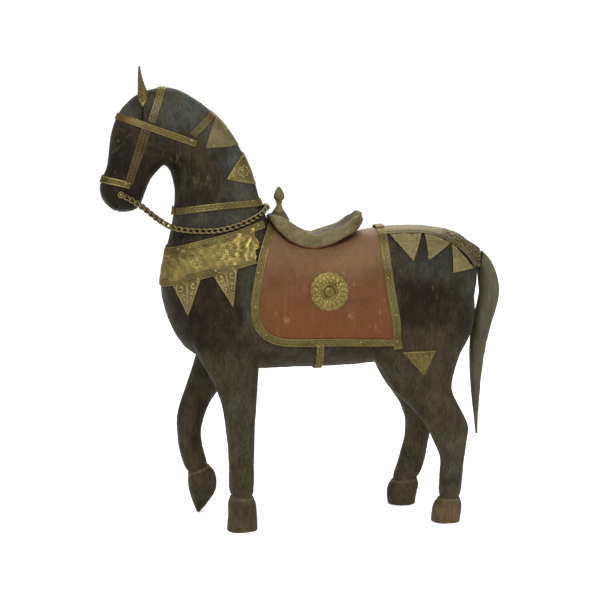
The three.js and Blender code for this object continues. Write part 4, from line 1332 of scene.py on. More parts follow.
@dataclass
class Bridle:
    """The straps of the head."""

    shop: SheetShop
    brow_width: float = 0.0088
    crown_width: float = 0.010
    nape_width: float = 0.009
    cheek_top: float = 0.0124
    cheek_foot: float = 0.010
    nose_width: float = 0.0092
    thin: float = 0.0006
    copper_fade: float = 0.012

    def build(self) -> None:
        """Lays every strap of the head."""
        lay = self.shop.strap
        brow = strap_guides([[-22.6, 83.9], [-34.1, 88.0], [-43, 91.0]], self.brow_width)
        piece = lay("embossed_brow_band", brow, Reach.ARCH, self.scroll, lift=GAP + 0.0003, thick=self.thin)
        front = (side_point(-35.5, 0)[0] - Bench.points(piece)[:, 0]) / self.copper_fade
        Bench.note(piece, "copper", 0.5 * np.clip(front, 0, 1))
        settle(piece, OLD_BRASS, ["brow_band"], "aged_brass")
        crown = strap_guides([[-31.9, 88.3], [-29.8, 94.7], [-29.0, 98.1]], self.crown_width)
        piece = lay("embossed_crown_band", crown, Reach.ARCH, self.leafy, thick=self.thin)
        settle(piece, DIM_BRASS, ["crown_band"], "aged_brass")
        nape = strap_guides([[-23.4, 85.6], [-19.0, 89.9], [-16.0, 93.0]], self.nape_width)
        piece = lay("coppery_nape_band", nape, Reach.ARCH, self.plain, thick=self.thin)
        above = (Bench.points(piece)[:, 2] - side_point(0, 87.0)[2]) / self.copper_fade
        Bench.note(piece, "copper", 0.3 * np.clip(above, 0, 1))
        settle(piece, DIM_BRASS, ["nape_band"], "aged_brass")
        nose = strap_guides([[-36.6, 75.2], [-39.5, 75.95], [-46, 76.9]], self.nose_width)
        piece = lay("embossed_nose_band", nose, Reach.ARCH, self.roped, lift=OVER)
        settle(piece, OLD_BRASS, ["nose_band"], "aged_brass")
        cheek = strap_guides([[-32.8, 87.6], [-36.9, 75.6]], self.cheek_top, self.cheek_foot)
        for word, side in SIDES:
            piece = lay(f"dotted_cheek_strap_{word}", cheek, Reach.FLANK, self.dotted, side)
            settle(piece, BROWN_BRASS, [f"cheek_strap_{word}"], "aged_brass")

    @staticmethod
    def scroll(patch: Patch) -> Array:
        """Small scrolls between raised borders."""
        return borders(patch) + vine(patch, 0.0075)

    @staticmethod
    def leafy(patch: Patch) -> Array:
        """Leaves between raised borders."""
        return borders(patch) + leaves(patch, 0.0075)

    @staticmethod
    def plain(patch: Patch) -> Array:
        """A faint border on a smooth strap."""
        return borders(patch, height=0.00025)

    @staticmethod
    def roped(patch: Patch) -> Array:
        """Strong borders with a plain field."""
        return borders(patch, 0.0013, 0.0006, 0.0006) + 0.5 * leaves(patch, 0.005)

    @staticmethod
    def dotted(patch: Patch) -> Array:
        """Beads between raised borders."""
        return borders(patch) + beads(patch, 0.0046, 0.0012, 0.0005)


@dataclass
class Collar:
    """The bands and plates of the neck and breast."""

    shop: SheetShop
    neck_width: float = 0.0087
    top_width: float = 0.010
    foot_width: float = 0.0112

    top = ([-8.5, 66.75], [-17.75, 63.95], [-23.4, 62.5], [-33, 59.7])
    foot = ([-10.6, 59.7], [-23.5, 56.2], [-34, 53.6])
    breast_flowers = (
        (-16.7, 61.5, 0.0112, 8, 0.0006), (-22.9, 59.7, 0.0080, 8, 0.0005), (-28.0, 58.6, 0.0092, 8, 0.0006),
    )
    folds = ((-14.1, 0.0048, 0.0021), (-12.0, 0.0026, 0.0014), (-26.1, 0.0046, 0.0014))
    mane_flowers = (
        (-12.7, 77.9, 0.0068, 8), (-15.0, 76.9, 0.0028, 4), (-10.2, 80.2, 0.0050, 6), (-9.6, 77.0, 0.0034, 5),
        (-16.6, 85.6, 0.0080, 6),
    )

    def build(self) -> None:
        """Lays the bands, the breast plate, the pendants and the mane plates."""
        neck = strap_guides([[-31, 68.9], [-22.1, 70.3], [-15.0, 71.0], [-5.5, 71.25]], self.neck_width)
        band = self.shop.strap("embossed_neck_band", neck, Reach.HOOP, Bridle.leafy)
        settle(Bench.join("embossed_neck_band", [band, self.clasp()]), OLD_BRASS, ["neck_band"], "aged_brass")
        for word, line, width in (("top", self.top, self.top_width), ("bottom", self.foot, self.foot_width)):
            name = f"embossed_collar_{word}_band"
            piece = self.shop.strap(name, strap_guides(line, width), Reach.ARCH, Bridle.scroll, lift=OVER)
            settle(piece, OLD_BRASS, [f"collar_{word}_band"], "aged_brass")
        self.breast()
        self.pendants()
        self.mane_plates()

    def clasp(self) -> Piece:
        """The proud block where the neck band's ends meet under the throat."""
        guides = strap_guides([[-27.0, 69.6], [-30.5, 69.05]], 0.0102)

        def edged(patch: Patch) -> Array:
            """A broad border."""
            return borders(patch, 0.001, 0.0006, 0.0003)

        return self.shop.strap("clasp", guides, Reach.ARCH, edged, thick=0.0026, across=10)

    def breast(self) -> None:
        """The bright plate between the two collar bands, with stamped flowers, folds and a torn rear end."""
        top = side_line([[-9.9, 66.3], *self.top[1:]])
        foot = side_line([[-10.7, 59.7], [-17.1, 57.95], *self.foot[1:]])
        draw = np.random.default_rng(8)
        tears = np.concatenate([[0.0], 0.34 * draw.normal(size=13), [0.0]])
        guides = []
        for share, tear in zip(np.linspace(0, 1, len(tears)), tears):
            line = foot * (1 - share) + top * share
            line[0, 0] -= (tear + 0.5 * math.sin(share * 9)) * SHARE
            guides.append(line)
        piece = self.shop.strap(
            "stamped_breast_plate", np.array(guides), Reach.ARCH, self.stamped, across=46, step=0.0009
        )
        settle(piece, BRIGHT_BRASS, ["breast_plate"], "bright_brass")

    def stamped(self, patch: Patch) -> Array:
        """Incised flowers and soft folds, with a crumpled rear end."""
        lines = np.maximum.reduce([flower(patch, *stamp) for stamp in self.breast_flowers])
        height = 0.0008 * ridge(patch.from_place(*self.breast_flowers[0][:2]), 0.009) - lines
        wander = 0.0022 * bump_noise(patch.points * [0, 0, 1], 0.024, 14)
        lean = patch.points[..., 0] - 0.2 * (patch.points[..., 2] - side_point(0, 62.5)[2]) + wander
        for place, size, rise in self.folds:
            fade = 0.6 + 0.4 * bump_noise(patch.points + place, 0.026, 15)
            height = height + rise * fade * ridge(lean - side_point(place, 0)[0], size)
        crumple = np.clip((patch.points[..., 0] - side_point(-12.4, 0)[0]) / 0.01, 0, 1)
        return height + crumple * dents(patch, 0.012, 0.0007, 25) + dents(patch, 0.018, 0.0009, 5)

    def triangle(
        self,
        name: str,
        base: Spots,
        point: Sequence[float],
        side: int,
        pattern: Callable[[Patch, Array], Array],
        lift: float = GAP,
        softness: float = 1.0,
    ) -> Piece:
        """Lays a pointed plate on a flank.

        Args:
            name: The piece's name.
            base: The two corners of its base in the side view.
            point: Its point.
            side: Its flank.
            pattern: Gives its relief from the patch and the distance from its outline.
            lift: How far its back is off the wood.
            softness: How faintly painted shade and highlight, with grime and wear, draw its relief.

        Returns:
            The new piece.
        """
        guides = side_line([[base[0], point], [base[1], point]])
        corners = side_line([base[0], base[1], point])
        patch = self.shop.skin.lay(guides, Reach.FLANK, side, 0.0009, 30)
        height = pattern(patch, outline_distance(patch, corners))
        return self.shop.form(name, patch, height, lift, softness=softness)

    @staticmethod
    def curled(patch: Patch, edge: Array) -> Array:
        """A raised border round paired spirals that shrink towards the point."""
        shrink, middle, spiral_radius, windings = 0.62, 0.42, 0.36, 24
        border = 0.0006 * ridge(edge - 0.0016, 0.0005)
        left = np.clip(1 - patch.run / patch.run.max(), 0.02, 1)
        rank = np.log(left) / math.log(shrink)
        size = patch.half.max() * shrink ** np.floor(rank)
        ahead = ((rank % 1) - middle) * 0.86
        aside = np.abs(patch.across) / size - middle
        away, turn = np.hypot(ahead, aside), np.arctan2(ahead, aside)
        spiral = ridge(1 - np.cos(turn + away * windings), 0.5) * (away < spiral_radius)
        stem = ridge(patch.across / size, 0.05)
        spray = ridge(np.sin(patch.across / size * 16 + ahead * 9), 0.5) * (away > 0.4) * 0.7
        curls = 0.0005 * np.clip(spiral + stem + spray, 0, 1) * (edge > 0.0028) * (left > 0.12)
        return border + curls + dents(patch, 0.02, 0.0004, 3)

    @staticmethod
    def faint(patch: Patch, edge: Array) -> Array:
        """A faint border on a beaten field."""
        swell = 0.0003 * ridge(edge - 0.0013, 0.0005) + dents(patch, 0.014, 0.0006, 9)
        return swell + beaten(patch, 0.0003, 40)

    def pendants(self) -> None:
        """The four pointed plates under the collar."""
        for word, side in SIDES:
            for where, base, point in (
                ("front", [[-28.2, 54.6], [-22.0, 56.3]], [-24.9, 47.7]),
                ("rear", [[-20.0, 56.9], [-14.4, 58.5]], [-15.5, 49.6]),
            ):
                piece = self.triangle(f"pendant_{where}_{word}", base, point, side, self.curled)
                settle(piece, MELLOW_BRASS, [f"breast_pendant_{where}_{word}"], "bright_brass")

    def mane_plates(self) -> None:
        """The two pointed plates folded over the crest."""
        for word, finish, depth, foot, head in (
            (
                "upper", SMUDGED_BRASS, 0.3,
                [[-20.7, 82.9], [-13.9, 83.5], [-10.6, 85.5]], [[-20.7, 82.9], [-18.4, 89.2], [-15.6, 92.2]],
            ),
            (
                "lower", MELLOW_BRASS, 1.0,
                [[-16.4, 76.4], [-10.6, 75.2], [-7.4, 75.6]], [[-16.4, 76.4], [-13.5, 80.7], [-10.8, 83.2]],
            ),
        ):
            guides = np.stack([spline(side_line(line), 24) for line in (foot, head)])
            patch = self.shop.skin.lay(guides, Reach.ARCH, LEFT, 0.0009, 34)
            edge = outline_distance(patch, np.concatenate([side_line(foot), side_line(head)[:0:-1]]))
            stamps = np.maximum.reduce([flower(patch, *stamp, 0.0008) for stamp in self.mane_flowers])
            height = depth * (0.0006 * ridge(edge - 0.0016, 0.0005) + stamps * (edge > 0.0026))
            height = height + dents(patch, 0.02, 0.0004, 7)
            piece = self.shop.form(f"mane_plate_over_crest_{word}", patch, height)
            settle(piece, finish, [f"mane_plate_{word}"], "bright_brass")


@dataclass
class Blanket:
    """The copper blanket with its strips, its rosettes and its girth."""

    shop: SheetShop
    edging_width: float = 0.0105
    band_width: float = 0.011
    strip: float = 0.0012
    fold_height: float = 0.0026
    fold_width: float = 0.022
    girth_width: float = 0.010
    lozenge: float = 0.0085
    buckle_radius: float = 0.0034
    rosette_radius: float = 0.025
    petals_start: float = 0.0106

    front = ((-10.9, 49.0), (-9.9, 56.6), (-8.65, 61.5), (-7.3, 65.2), (-5.0, 71.0))
    rear = ((20.2, 40.9), (19.6, 46), (18.15, 54), (17.5, 60.8), (17.6, 70))
    hem = ((20.0, 40.95), (7.9, 41.6), (-2.6, 41.8), (-5.8, 42.2), (-8.6, 43.6), (-10.4, 46.0), (-11.0, 49.4))
    sheet_hem = ((-10.3, 46.0), (-8.6, 43.7), (-5.8, 42.3), (-2.6, 41.9), (3, 41.75), (7.9, 41.6), (14, 41.3))
    spine = (-5.0, -4.2, -3, -1.4, 0.7, 4, 8, 12.6, 17.6)

    def build(self) -> None:
        """Lays the sheet and everything on it."""
        self.sheet()
        edging = strap_guides([*self.hem, *self.front[1:]], self.edging_width)
        for word, side in SIDES:
            piece = self.shop.strap(
                f"embossed_blanket_edge_{word}", edging, Reach.HALF, self.rich, side, GAP + SHEET, self.strip
            )
            settle(piece, OLD_BRASS, [f"blanket_edge_{word}"], "aged_brass")
            settle(self.rosette(word, side), BRIGHT_BRASS, [f"rosette_{word}"], "bright_brass")
        rear = strap_guides([(20.35, 39.6), *self.rear[1:]], self.band_width)
        lift = GAP + SHEET + 0.0002
        band = self.shop.strap(
            "embossed_blanket_rear_band", rear, Reach.ARCH, self.folded, lift=lift, thick=self.strip
        )
        settle(band, OLD_BRASS, ["blanket_rear_band"], "aged_brass")
        line = strap_guides([[3.2, 41.3], [3.8, 31]], self.girth_width)
        girth = self.shop.strap("girth_strap_under_belly", line, Reach.ARCH, self.buckled, thick=2 * SHEET)
        settle(girth, OLD_BRASS, ["girth_strap"], "aged_brass")

    def rich(self, patch: Patch) -> Array:
        """Double borders round a running lozenge chain."""
        wave = 0.42 * patch.half * np.abs(np.sin(patch.run / self.lozenge * math.pi))
        chain = ridge(np.abs(patch.across) - wave, 0.0005)
        kernel = ridge(np.hypot((patch.run / self.lozenge) % 1 - 0.5, patch.across / self.lozenge), 0.1)
        lines = borders(patch, 0.0010, 0.0004, 0.0004) + borders(patch, 0.0023, 0.0004, 0.0004)
        return lines + 0.00042 * np.maximum(chain, kernel) * (patch.edge > 0.0016)

    def folded(self, patch: Patch) -> Array:
        """The same, with a folded hump over the spine."""
        hump = 1 / (1 + np.exp((np.abs(patch.points[..., 1]) - self.fold_width / 2) / 0.0007))
        spine = patch.points[..., 2] > side_point(0, 60)[2]
        return self.rich(patch) + self.fold_height * hump * spine

    def buckled(self, patch: Patch) -> Array:
        """A loop of raised wire at each end of a leafy strap."""
        loop = np.abs(np.hypot(np.clip(patch.ends - 0.012, 0, None), patch.across) - self.buckle_radius)
        buckle = 0.0009 * ridge(loop, 0.0007) * (patch.ends < 0.018)
        return buckle + borders(patch, 0.0008, 0.0004, 0.0004) + leaves(patch, 0.0052) * (patch.ends > 0.008)

    def sheet(self) -> None:
        """The beaten copper sheet over the back and both flanks."""
        feet = side_line([self.front[0], *self.sheet_hem, self.rear[0]])
        heads = side_line([(x, 71.0 - 0.045 * (x + 5.0)) for x in self.spine])
        edges = []
        for line in (side_line(self.front), side_line(self.rear)):
            steps = np.linalg.norm(np.diff(line, axis=0), axis=1)
            places = (np.concatenate([[0], np.cumsum(steps)]) / steps.sum())[:, None]
            edges.append((places, line - (line[0] * (1 - places) + line[-1] * places)))
        (first, first_bow), (last, last_bow) = edges
        guides = []
        for share, foot, head in zip(np.linspace(0, 1, len(feet)), feet, heads):
            rise = first * (1 - share) + last * share
            bow = (1 - share) ** 2 * first_bow + share**2 * last_bow
            guides.append(foot * (1 - rise) + head * rise + bow)
        patch = self.shop.skin.lay(np.array(guides), Reach.ARCH, LEFT, 0.0018, 96, fan=0.03)
        height = dents(patch, 0.05, 0.0004, 1) + dents(patch, 0.013, 0.00012, 2)
        settle(self.shop.form("copper_blanket", patch, height), COPPER, ["saddle_blanket"], "copper_sheet")

    def rosette(self, word: str, side: int) -> Piece:
        """A round boss with a dome, a ring and sixteen petals."""
        centre = side_point(5.0, 52.6)
        turns = np.linspace(0, TURN, 145)
        radii = np.concatenate([[0.00001], np.linspace(0.0006, self.rosette_radius, 44)])
        points = np.empty((len(radii), len(turns), 3))
        normals = np.empty_like(points)
        for row, radius in enumerate(radii):
            for column, turn in enumerate(turns):
                reach = radius * (1 - 0.05 * (row / len(radii)) ** 2 * (1 - abs(math.cos(8 * turn))))
                x, z = centre[0] + reach * math.cos(turn), centre[2] + reach * math.sin(turn)
                points[row, column], normals[row, column] = self.shop.skin.flank(x, z, side)
        normals = np.broadcast_to(normals.mean(axis=(0, 1)), normals.shape).copy()
        normals /= np.linalg.norm(normals, axis=-1, keepdims=True)
        away = np.broadcast_to(radii[:, None], points.shape[:2])
        turn = np.broadcast_to(turns[None], points.shape[:2])

        def petal(radius: float, long: float, wave: Array, wide: float) -> Array:
            """The distance from the heart of the nearest petal of a ring, 1 at its edge."""
            return np.hypot((away - radius) / long, wave / wide)

        between, on = np.sin(9 * turn), np.cos(9 * turn)
        leafage = 0.0010 * ridge(petal(0.0132, 0.0022, between, 0.8), 0.75)
        leafage = leafage + 0.0011 * ridge(petal(0.0186, 0.0045, on, 0.8) - 0.72, 0.17)
        leafage = leafage + 0.0009 * ridge(petal(0.0178, 0.0030, on, 0.75), 0.45)
        leafage = leafage + 0.0008 * ridge(petal(0.0222, 0.0020, between, 0.9), 0.6)
        share = np.clip((away - self.petals_start) / (self.rosette_radius - self.petals_start), 0, 1)
        dome = 0.0024 * np.sqrt(np.clip(1 - (away / 0.0062) ** 2, 0, 1))
        rings = 0.0013 * ridge(away - 0.0092, 0.0008) + 0.0006 * ridge(away - 0.0074, 0.0004)
        rim = 0.0006 * ridge(away - self.rosette_radius + 0.0008, 0.0006)
        height = dome + rings + rim + leafage * (away > 0.0104) + 0.0010 * np.sin(math.pi * share)
        patch = Patch(points, normals, run=turn * away, across=away, half=away)
        piece = self.shop.form(f"petalled_rosette_{word}", patch, height, GAP + SHEET + 0.0001, 0.0008, 1.9)
        places = Bench.points(piece) - centre
        Bench.note(piece, "copper", 0.55 * ridge(np.hypot(places[:, 0], places[:, 2]), 0.008))
        return piece


@dataclass
class Croup:
    """The tarnished sheets over the croup and dock, and the pointed plates under them."""

    shop: SheetShop
    collar: Collar

    def build(self) -> None:
        """Lays the sheets and plates."""
        self.back_strip()
        self.dock()
        plates = (
            ("front", [[18.6, 64.5], [26.2, 64.6]], [23.5, 58.7]),
            ("middle", [[26.7, 64.5], [32.4, 62.2]], [26.9, 58.8]),
            ("rear", [[32.5, 62.2], [37.5, 56.6]], [32.3, 56.0]),
        )
        haunch = [[21.1, 39.0], [28.7, 39.3]], [25.9, 33.7]
        for word, side in SIDES:
            for where, base, point in plates:
                piece = self.collar.triangle(f"rump_plate_{where}_{word}", base, point, side, Collar.faint)
                settle(piece, PALE_BRASS, [f"rump_triangle_{where}_{word}"], "bright_brass")
            piece = self.collar.triangle(f"haunch_plate_{word}", *haunch, side, Collar.curled, softness=1.8)
            settle(piece, OLD_BRASS, [f"haunch_triangle_{word}"], "bright_brass")

    def back_strip(self) -> None:
        """The sheet along the spine and its two narrow borders beside the dock."""
        feet = [[18.2, 64.0], [22.1, 64.2], [26.5, 64.1], [29.2, 63.6], [31.2, 62.75]]
        tops = [[18.2, 69], [22.1, 69], [26.5, 69], [29.6, 69], [31.6, 69]]
        patch = self.shop.skin.lay(pair_guides(feet, tops), Reach.ARCH, LEFT, 0.0012, 70, fan=0.01)
        height = 0.0005 * ridge(patch.ends - 0.0016, 0.0006) + 0.0004 * ridge(patch.ends - 0.006, 0.0005)
        parts = [self.shop.form("sheet", patch, height + dents(patch, 0.03, 0.0004, 4), GAP + 0.0007)]
        lower = spline(side_line([[30.6, 63.1], [33.6, 61.2], [35.5, 59.6], [36.9, 57.8], [37.6, 56.5]]), 30)
        upper = spline(side_line([[31.2, 64.2], [33.3, 62.6], [35.7, 60.8], [37.3, 59.0], [38.4, 57.1]]), 30)
        edges = np.stack([lower, upper])
        for _, side in SIDES:
            border = self.shop.strap("border", edges, Reach.FLANK, Bridle.plain, side, GAP + 0.0012, across=8)
            parts.append(border)
        settle(Bench.join("spine_sheet_with_borders", parts), DARK_BRASS, ["back_strip"], "dark_brass")

    def dock(self) -> None:
        """The rust-stained sheet over the dock."""
        feet = [
            [31.2, 63.2], [33.0, 62.2], [35.5, 60.4], [37.1, 58.7], [38.2, 57.1], [38.9, 56.5], [39.6, 56.4],
        ]
        tops = [[31.6, 69], [34.6, 68], [37.6, 66.5], [38.8, 65.0], [39.5, 64], [39.9, 63.5], [40.2, 63.2]]
        patch = self.shop.skin.lay(pair_guides(feet, tops), Reach.ARCH, LEFT, 0.0012, 60, fan=0.009)
        height = dents(patch, 0.016, 0.0007, 6) + beaten(patch, 0.0010, 16)
        sheet = self.shop.form("rusty_dock_sheet", patch, height, GAP + 0.0004)
        settle(sheet, DOCK_BRASS, ["dock_plate"], "dark_brass")


@dataclass
class Tail:
    """The tail, carved on its own."""

    sides: int = 40

    def build(self) -> None:
        """Lofts the tail and scores it lengthwise."""
        tail = Bench.loft("carved_tail", carved_rows(TAIL_RIBS, True, 8, self.sides, 2.1))
        places, normals = Bench.points(tail), Bench.normals(tail)
        turn = np.arctan2(places[:, 1], places[:, 0] - side_point(42.0, 0)[0])
        score = 0.00025 * np.sin(turn * 9 + places[:, 2] * 40) + 0.0003 * bump_noise(places, 0.03, 12)
        Bench.move(tail, places + normals * score[:, None])
        # Painted shade at the root, where the tail meets the dock.
        root = np.clip((places[:, 2] - side_point(0, 58.6)[2]) / 0.004, 0, 1)
        Bench.note(tail, "painted_hollow_shade", 0.7 * root)
        settle(tail, TAIL_WOOD, ["tail"], "tail_wood", 60)


# The saddle's sections from front to rear: x, the skirt's foot, the rim, the seat and the half width.
SADDLE_RIBS = [
    [-7.1, 67.9, 68.3, 68.3, 2.2], [-5.8, 65.9, 68.5, 68.5, 4.0], [-3.6, 63.6, 68.0, 67.6, 4.8],
    [-1.1, 62.1, 66.1, 65.7, 5.0], [2.4, 61.3, 64.4, 64.1, 5.1], [6.2, 62.2, 65.3, 64.9, 5.1],
    [9.0, 63.6, 66.3, 66.0, 4.9], [11.2, 64.7, 67.9, 67.8, 4.4], [12.6, 65.8, 68.3, 68.8, 3.5],
    [13.4, 67.4, 68.2, 68.8, 2.6],
]
# The pommel and an ear from the top down: the two ends (x, z), the half width and the middle y.
POMMEL_RIBS = [
    [-5.1, 70.8, -4.1, 70.8, 0.6, 0], [-5.25, 70.2, -3.95, 70.2, 0.75, 0], [-6.1, 68.8, -3.2, 68.8, 2.0, 0],
    [-6.9, 67.2, -2.3, 67.2, 3.4, 0],
]
EAR_RIBS = [
    [-34.35, 100.0, -34.05, 100.0, 0.15, 3.9], [-34.5, 98.2, -33.75, 98.2, 0.4, 3.8],
    [-34.6, 96.0, -33.1, 96.0, 0.7, 3.7], [-34.7, 94.2, -32.5, 94.2, 0.9, 3.6],
    [-34.6, 92.6, -32.6, 92.6, 0.9, 3.5],
]


@dataclass
class Saddle:
    """The carved trough saddle, its pommel and the turned knob on it."""

    skin: Skin
    cell: float = 0.0014
    foot: float = GAP + SHEET + 0.0003
    seat_depth: float = 1.3
    skirt_drop: float = 1.6
    lip_rise: float = 0.0007
    proud: float = 0.004
    rim_top: float = 69.2

    def build(self) -> None:
        """Carves the saddle and turns its knob."""
        self.seat()
        self.knob()

    def section(self, low: float, rim: float, seat: float, half: float) -> Array:
        """A closed section of the saddle, as (y, z)."""
        rise = rim - low
        dip = 0.1 * (rim - seat)
        right = [
            [0.99 * half, low], [1.05 * half, low + 0.14 * rise], [1.03 * half, low + 0.5 * rise],
            [0.98 * half, low + 0.84 * rise], [0.92 * half, rim - 0.01 * rise],
            [0.84 * half, rim - 0.04 * rise], [0.74 * half, seat + dip], [0.4 * half, seat - dip],
        ]
        left = [[-y, z] for y, z in reversed(right)]
        under = [[share * half, seat - self.seat_depth] for share in (-0.5, 0.0, 0.5)]
        ring = np.array([*right, [0.0, seat], *left, *under, right[0]])
        ring[:, 1] = np.maximum(ring[:, 1], low - self.skirt_drop)
        return spline(ring, 73)[:-1]

    def seat(self) -> None:
        """Lofts the seat and skirts, joins the pommel and fits both to the blanket."""
        smooth = spline(np.array(SADDLE_RIBS, float), (len(SADDLE_RIBS) - 1) * 8 + 1)
        rows = np.empty((len(smooth), 72, 3))
        for row, (x, low, rim, seat, half) in zip(rows, smooth):
            ring = self.section(low, rim, seat, half)
            row[:, 0], row[:, 1], row[:, 2] = x, ring[:, 0], ring[:, 1]
        rows *= SHARE
        rows[..., 0] += SHIFT
        hull = Bench.loft("hull", rows)
        pommel = Bench.loft("pommel", carved_rows(POMMEL_RIBS, True, 8, 32, 2.0))
        saddle = Bench.join("trough_saddle", [hull, pommel])
        Bench.apply(saddle, "REMESH", mode="VOXEL", voxel_size=self.cell, adaptivity=0.0)
        Bench.apply(saddle, "SMOOTH", factor=0.5, iterations=3)
        places = Bench.points(saddle)
        off = np.empty(len(places))
        for index, place in enumerate(places):
            off[index], way = self.skin.gap(place)
            if off[index] < self.foot:
                places[index] = place + way * (self.foot - off[index])
        Bench.move(saddle, places)
        self.weather(saddle, places, off)
        settle(saddle, SADDLE_METAL, ["saddle"], "dark_brass", 60)

    def weather(self, saddle: Piece, places: Array, off: Array) -> None:
        """Raises the lip, dents the metal and notes copper, painted light on upward faces, painted shade in
        the trough and mottled wear.

        Args:
            saddle: The fitted saddle.
            places: Its points.
            off: How far each was off the wood before it was fitted.
        """
        normals = Bench.normals(saddle)
        skirt = line_distance(places, [[x, low + 0.1] for x, low, *_ in SADDLE_RIBS])
        lip = ridge(skirt, 0.0015) * (np.abs(places[:, 1]) > 0.012)
        wear = 0.00030 * bump_noise(places, 0.022, 31) + 0.00022 * bump_noise(places, 0.008, 32)
        relief = self.lip_rise * lip + np.where(off > self.proud, wear, 0.0)
        Bench.move(saddle, places + normals * relief[:, None])
        patch = ridge(np.linalg.norm(places - side_point(-3.3, 68.2, -1.9), axis=1), 0.006)
        Bench.note(saddle, "copper", np.clip(lip + 0.55 * patch, 0, 1))
        # Painted light: faces that look up are lighter.
        upward = np.clip(normals[:, 2], 0, 1)
        xs, halves = np.array(SADDLE_RIBS)[:, 0], np.array(SADDLE_RIBS)[:, 4]
        half = np.interp((places[:, 0] - SHIFT) / SHARE, xs, halves) * SHARE
        # Painted shade inside the seat's trough.
        inside = (upward > 0.2) * (places[:, 2] < side_point(0, self.rim_top)[2])
        trough = np.clip(2.2 - 2.6 * np.abs(places[:, 1]) / half, 0, 1) * inside
        mottled = 0.12 * bump_noise(places, 0.016, 33) + 0.1 * bump_noise(places, 0.006, 34)
        Bench.note(saddle, "relief", np.clip(0.36 + 0.3 * upward + mottled - 0.6 * trough, 0, 1))

    def knob(self) -> None:
        """Turns the bud on the pommel."""
        profile = [
            [2.6, -2.4], [3.4, -0.6], [4.2, 0.1], [4.5, 0.9], [4.2, 1.6], [3.9, 2.3], [4.8, 3.2], [6.4, 5.0],
            [7.1, 7.4], [6.8, 10.2], [5.6, 13.6], [3.9, 16.9], [2.4, 19.2], [1.2, 20.6], [0.4, 21.0],
        ]
        foot = side_point(-4.6, 70.9) + np.array([0, 0, 0.0003])
        knob = Bench.turned("bud_knob", profile, foot, np.array([0.0, 0, 1]), petals=8)
        Bench.note(knob, "relief", 0.3 + 0.15 * bump_noise(Bench.points(knob), 0.008, 35))
        Bench.note(knob, "copper", np.zeros(len(knob.data.vertices)))
        settle(knob, SADDLE_METAL, ["saddle_knob"], "dark_brass", 60)


@dataclass
class Ears:
    """The two sheet ears, rolled to blades with a leaf at the foot."""

    collar: Collar
    sides: int = 36
    turned_out: float = 0.9
    channel_depth: float = 0.62
    channel_width: float = 0.62

    def build(self) -> None:
        """Rolls both ears."""
        for word, side in SIDES:
            ribs = [[*rib[:5], rib[5] * side] for rib in EAR_RIBS]
            rows = carved_rows(ribs, True, 8, self.sides, 2.0)
            middle = rows.mean(axis=1, keepdims=True)
            turn = np.linspace(0, TURN, self.sides, endpoint=False)
            facing = (math.pi / 2 - self.turned_out) * side
            away = np.abs((turn - facing + math.pi) % TURN - math.pi)
            channel = 1 - self.channel_depth * ridge(away, self.channel_width)
            rows = middle + (rows - middle) * channel[None, :, None]
            blade = Bench.loft("blade", rows)
            Bench.note(blade, "relief", 0.42 + 0.2 * np.clip((Bench.points(blade)[:, 2] - 0.56) / 0.03, 0, 1))
            leaf = self.collar.triangle(
                "leaf", [[-34.6, 93.1], [-32.4, 93.5]], [-33.6, 91.5], side, Collar.faint, GAP + 0.0002
            )
            ear = Bench.join(f"rolled_ear_{word}", [blade, leaf])
            settle(ear, EAR_BRASS, [f"ear_{word}"], "dark_brass", 50)


# The chain's middle from the left stud over the withers to the right stud: x, y, z.
REIN_ROUTE = [
    [-38.5, -4.85, 73.4], [-36.2, -5.2, 72.2], [-33.4, -5.9, 70.2], [-30.6, -6.4, 68.0], [-28.2, -6.7, 66.6],
    [-26.0, -7.2, 66.1], [-23.6, -7.6, 65.85], [-21.0, -7.95, 65.8], [-18.6, -8.0, 65.9], [-16.2, -7.8, 66.3],
    [-14.0, -7.4, 66.9], [-12.0, -6.7, 67.6], [-10.2, -5.7, 68.4], [-8.7, -4.3, 69.2], [-7.6, -2.4, 70.0],
    [-7.3, 0, 70.2], [-7.6, 2.4, 70.0], [-8.7, 4.3, 69.2], [-10.2, 5.7, 68.4], [-12.0, 6.7, 67.6],
    [-14.0, 7.4, 66.9], [-16.1, 7.9, 66.1], [-18.3, 8.1, 65.5], [-20.6, 8.1, 65.0], [-23.0, 7.8, 64.6],
    [-25.4, 7.3, 64.6], [-27.7, 6.8, 65.2], [-30.3, 6.4, 66.8], [-33.2, 5.9, 69.2], [-36.0, 5.3, 71.6],
    [-38.5, 4.85, 73.4],
]


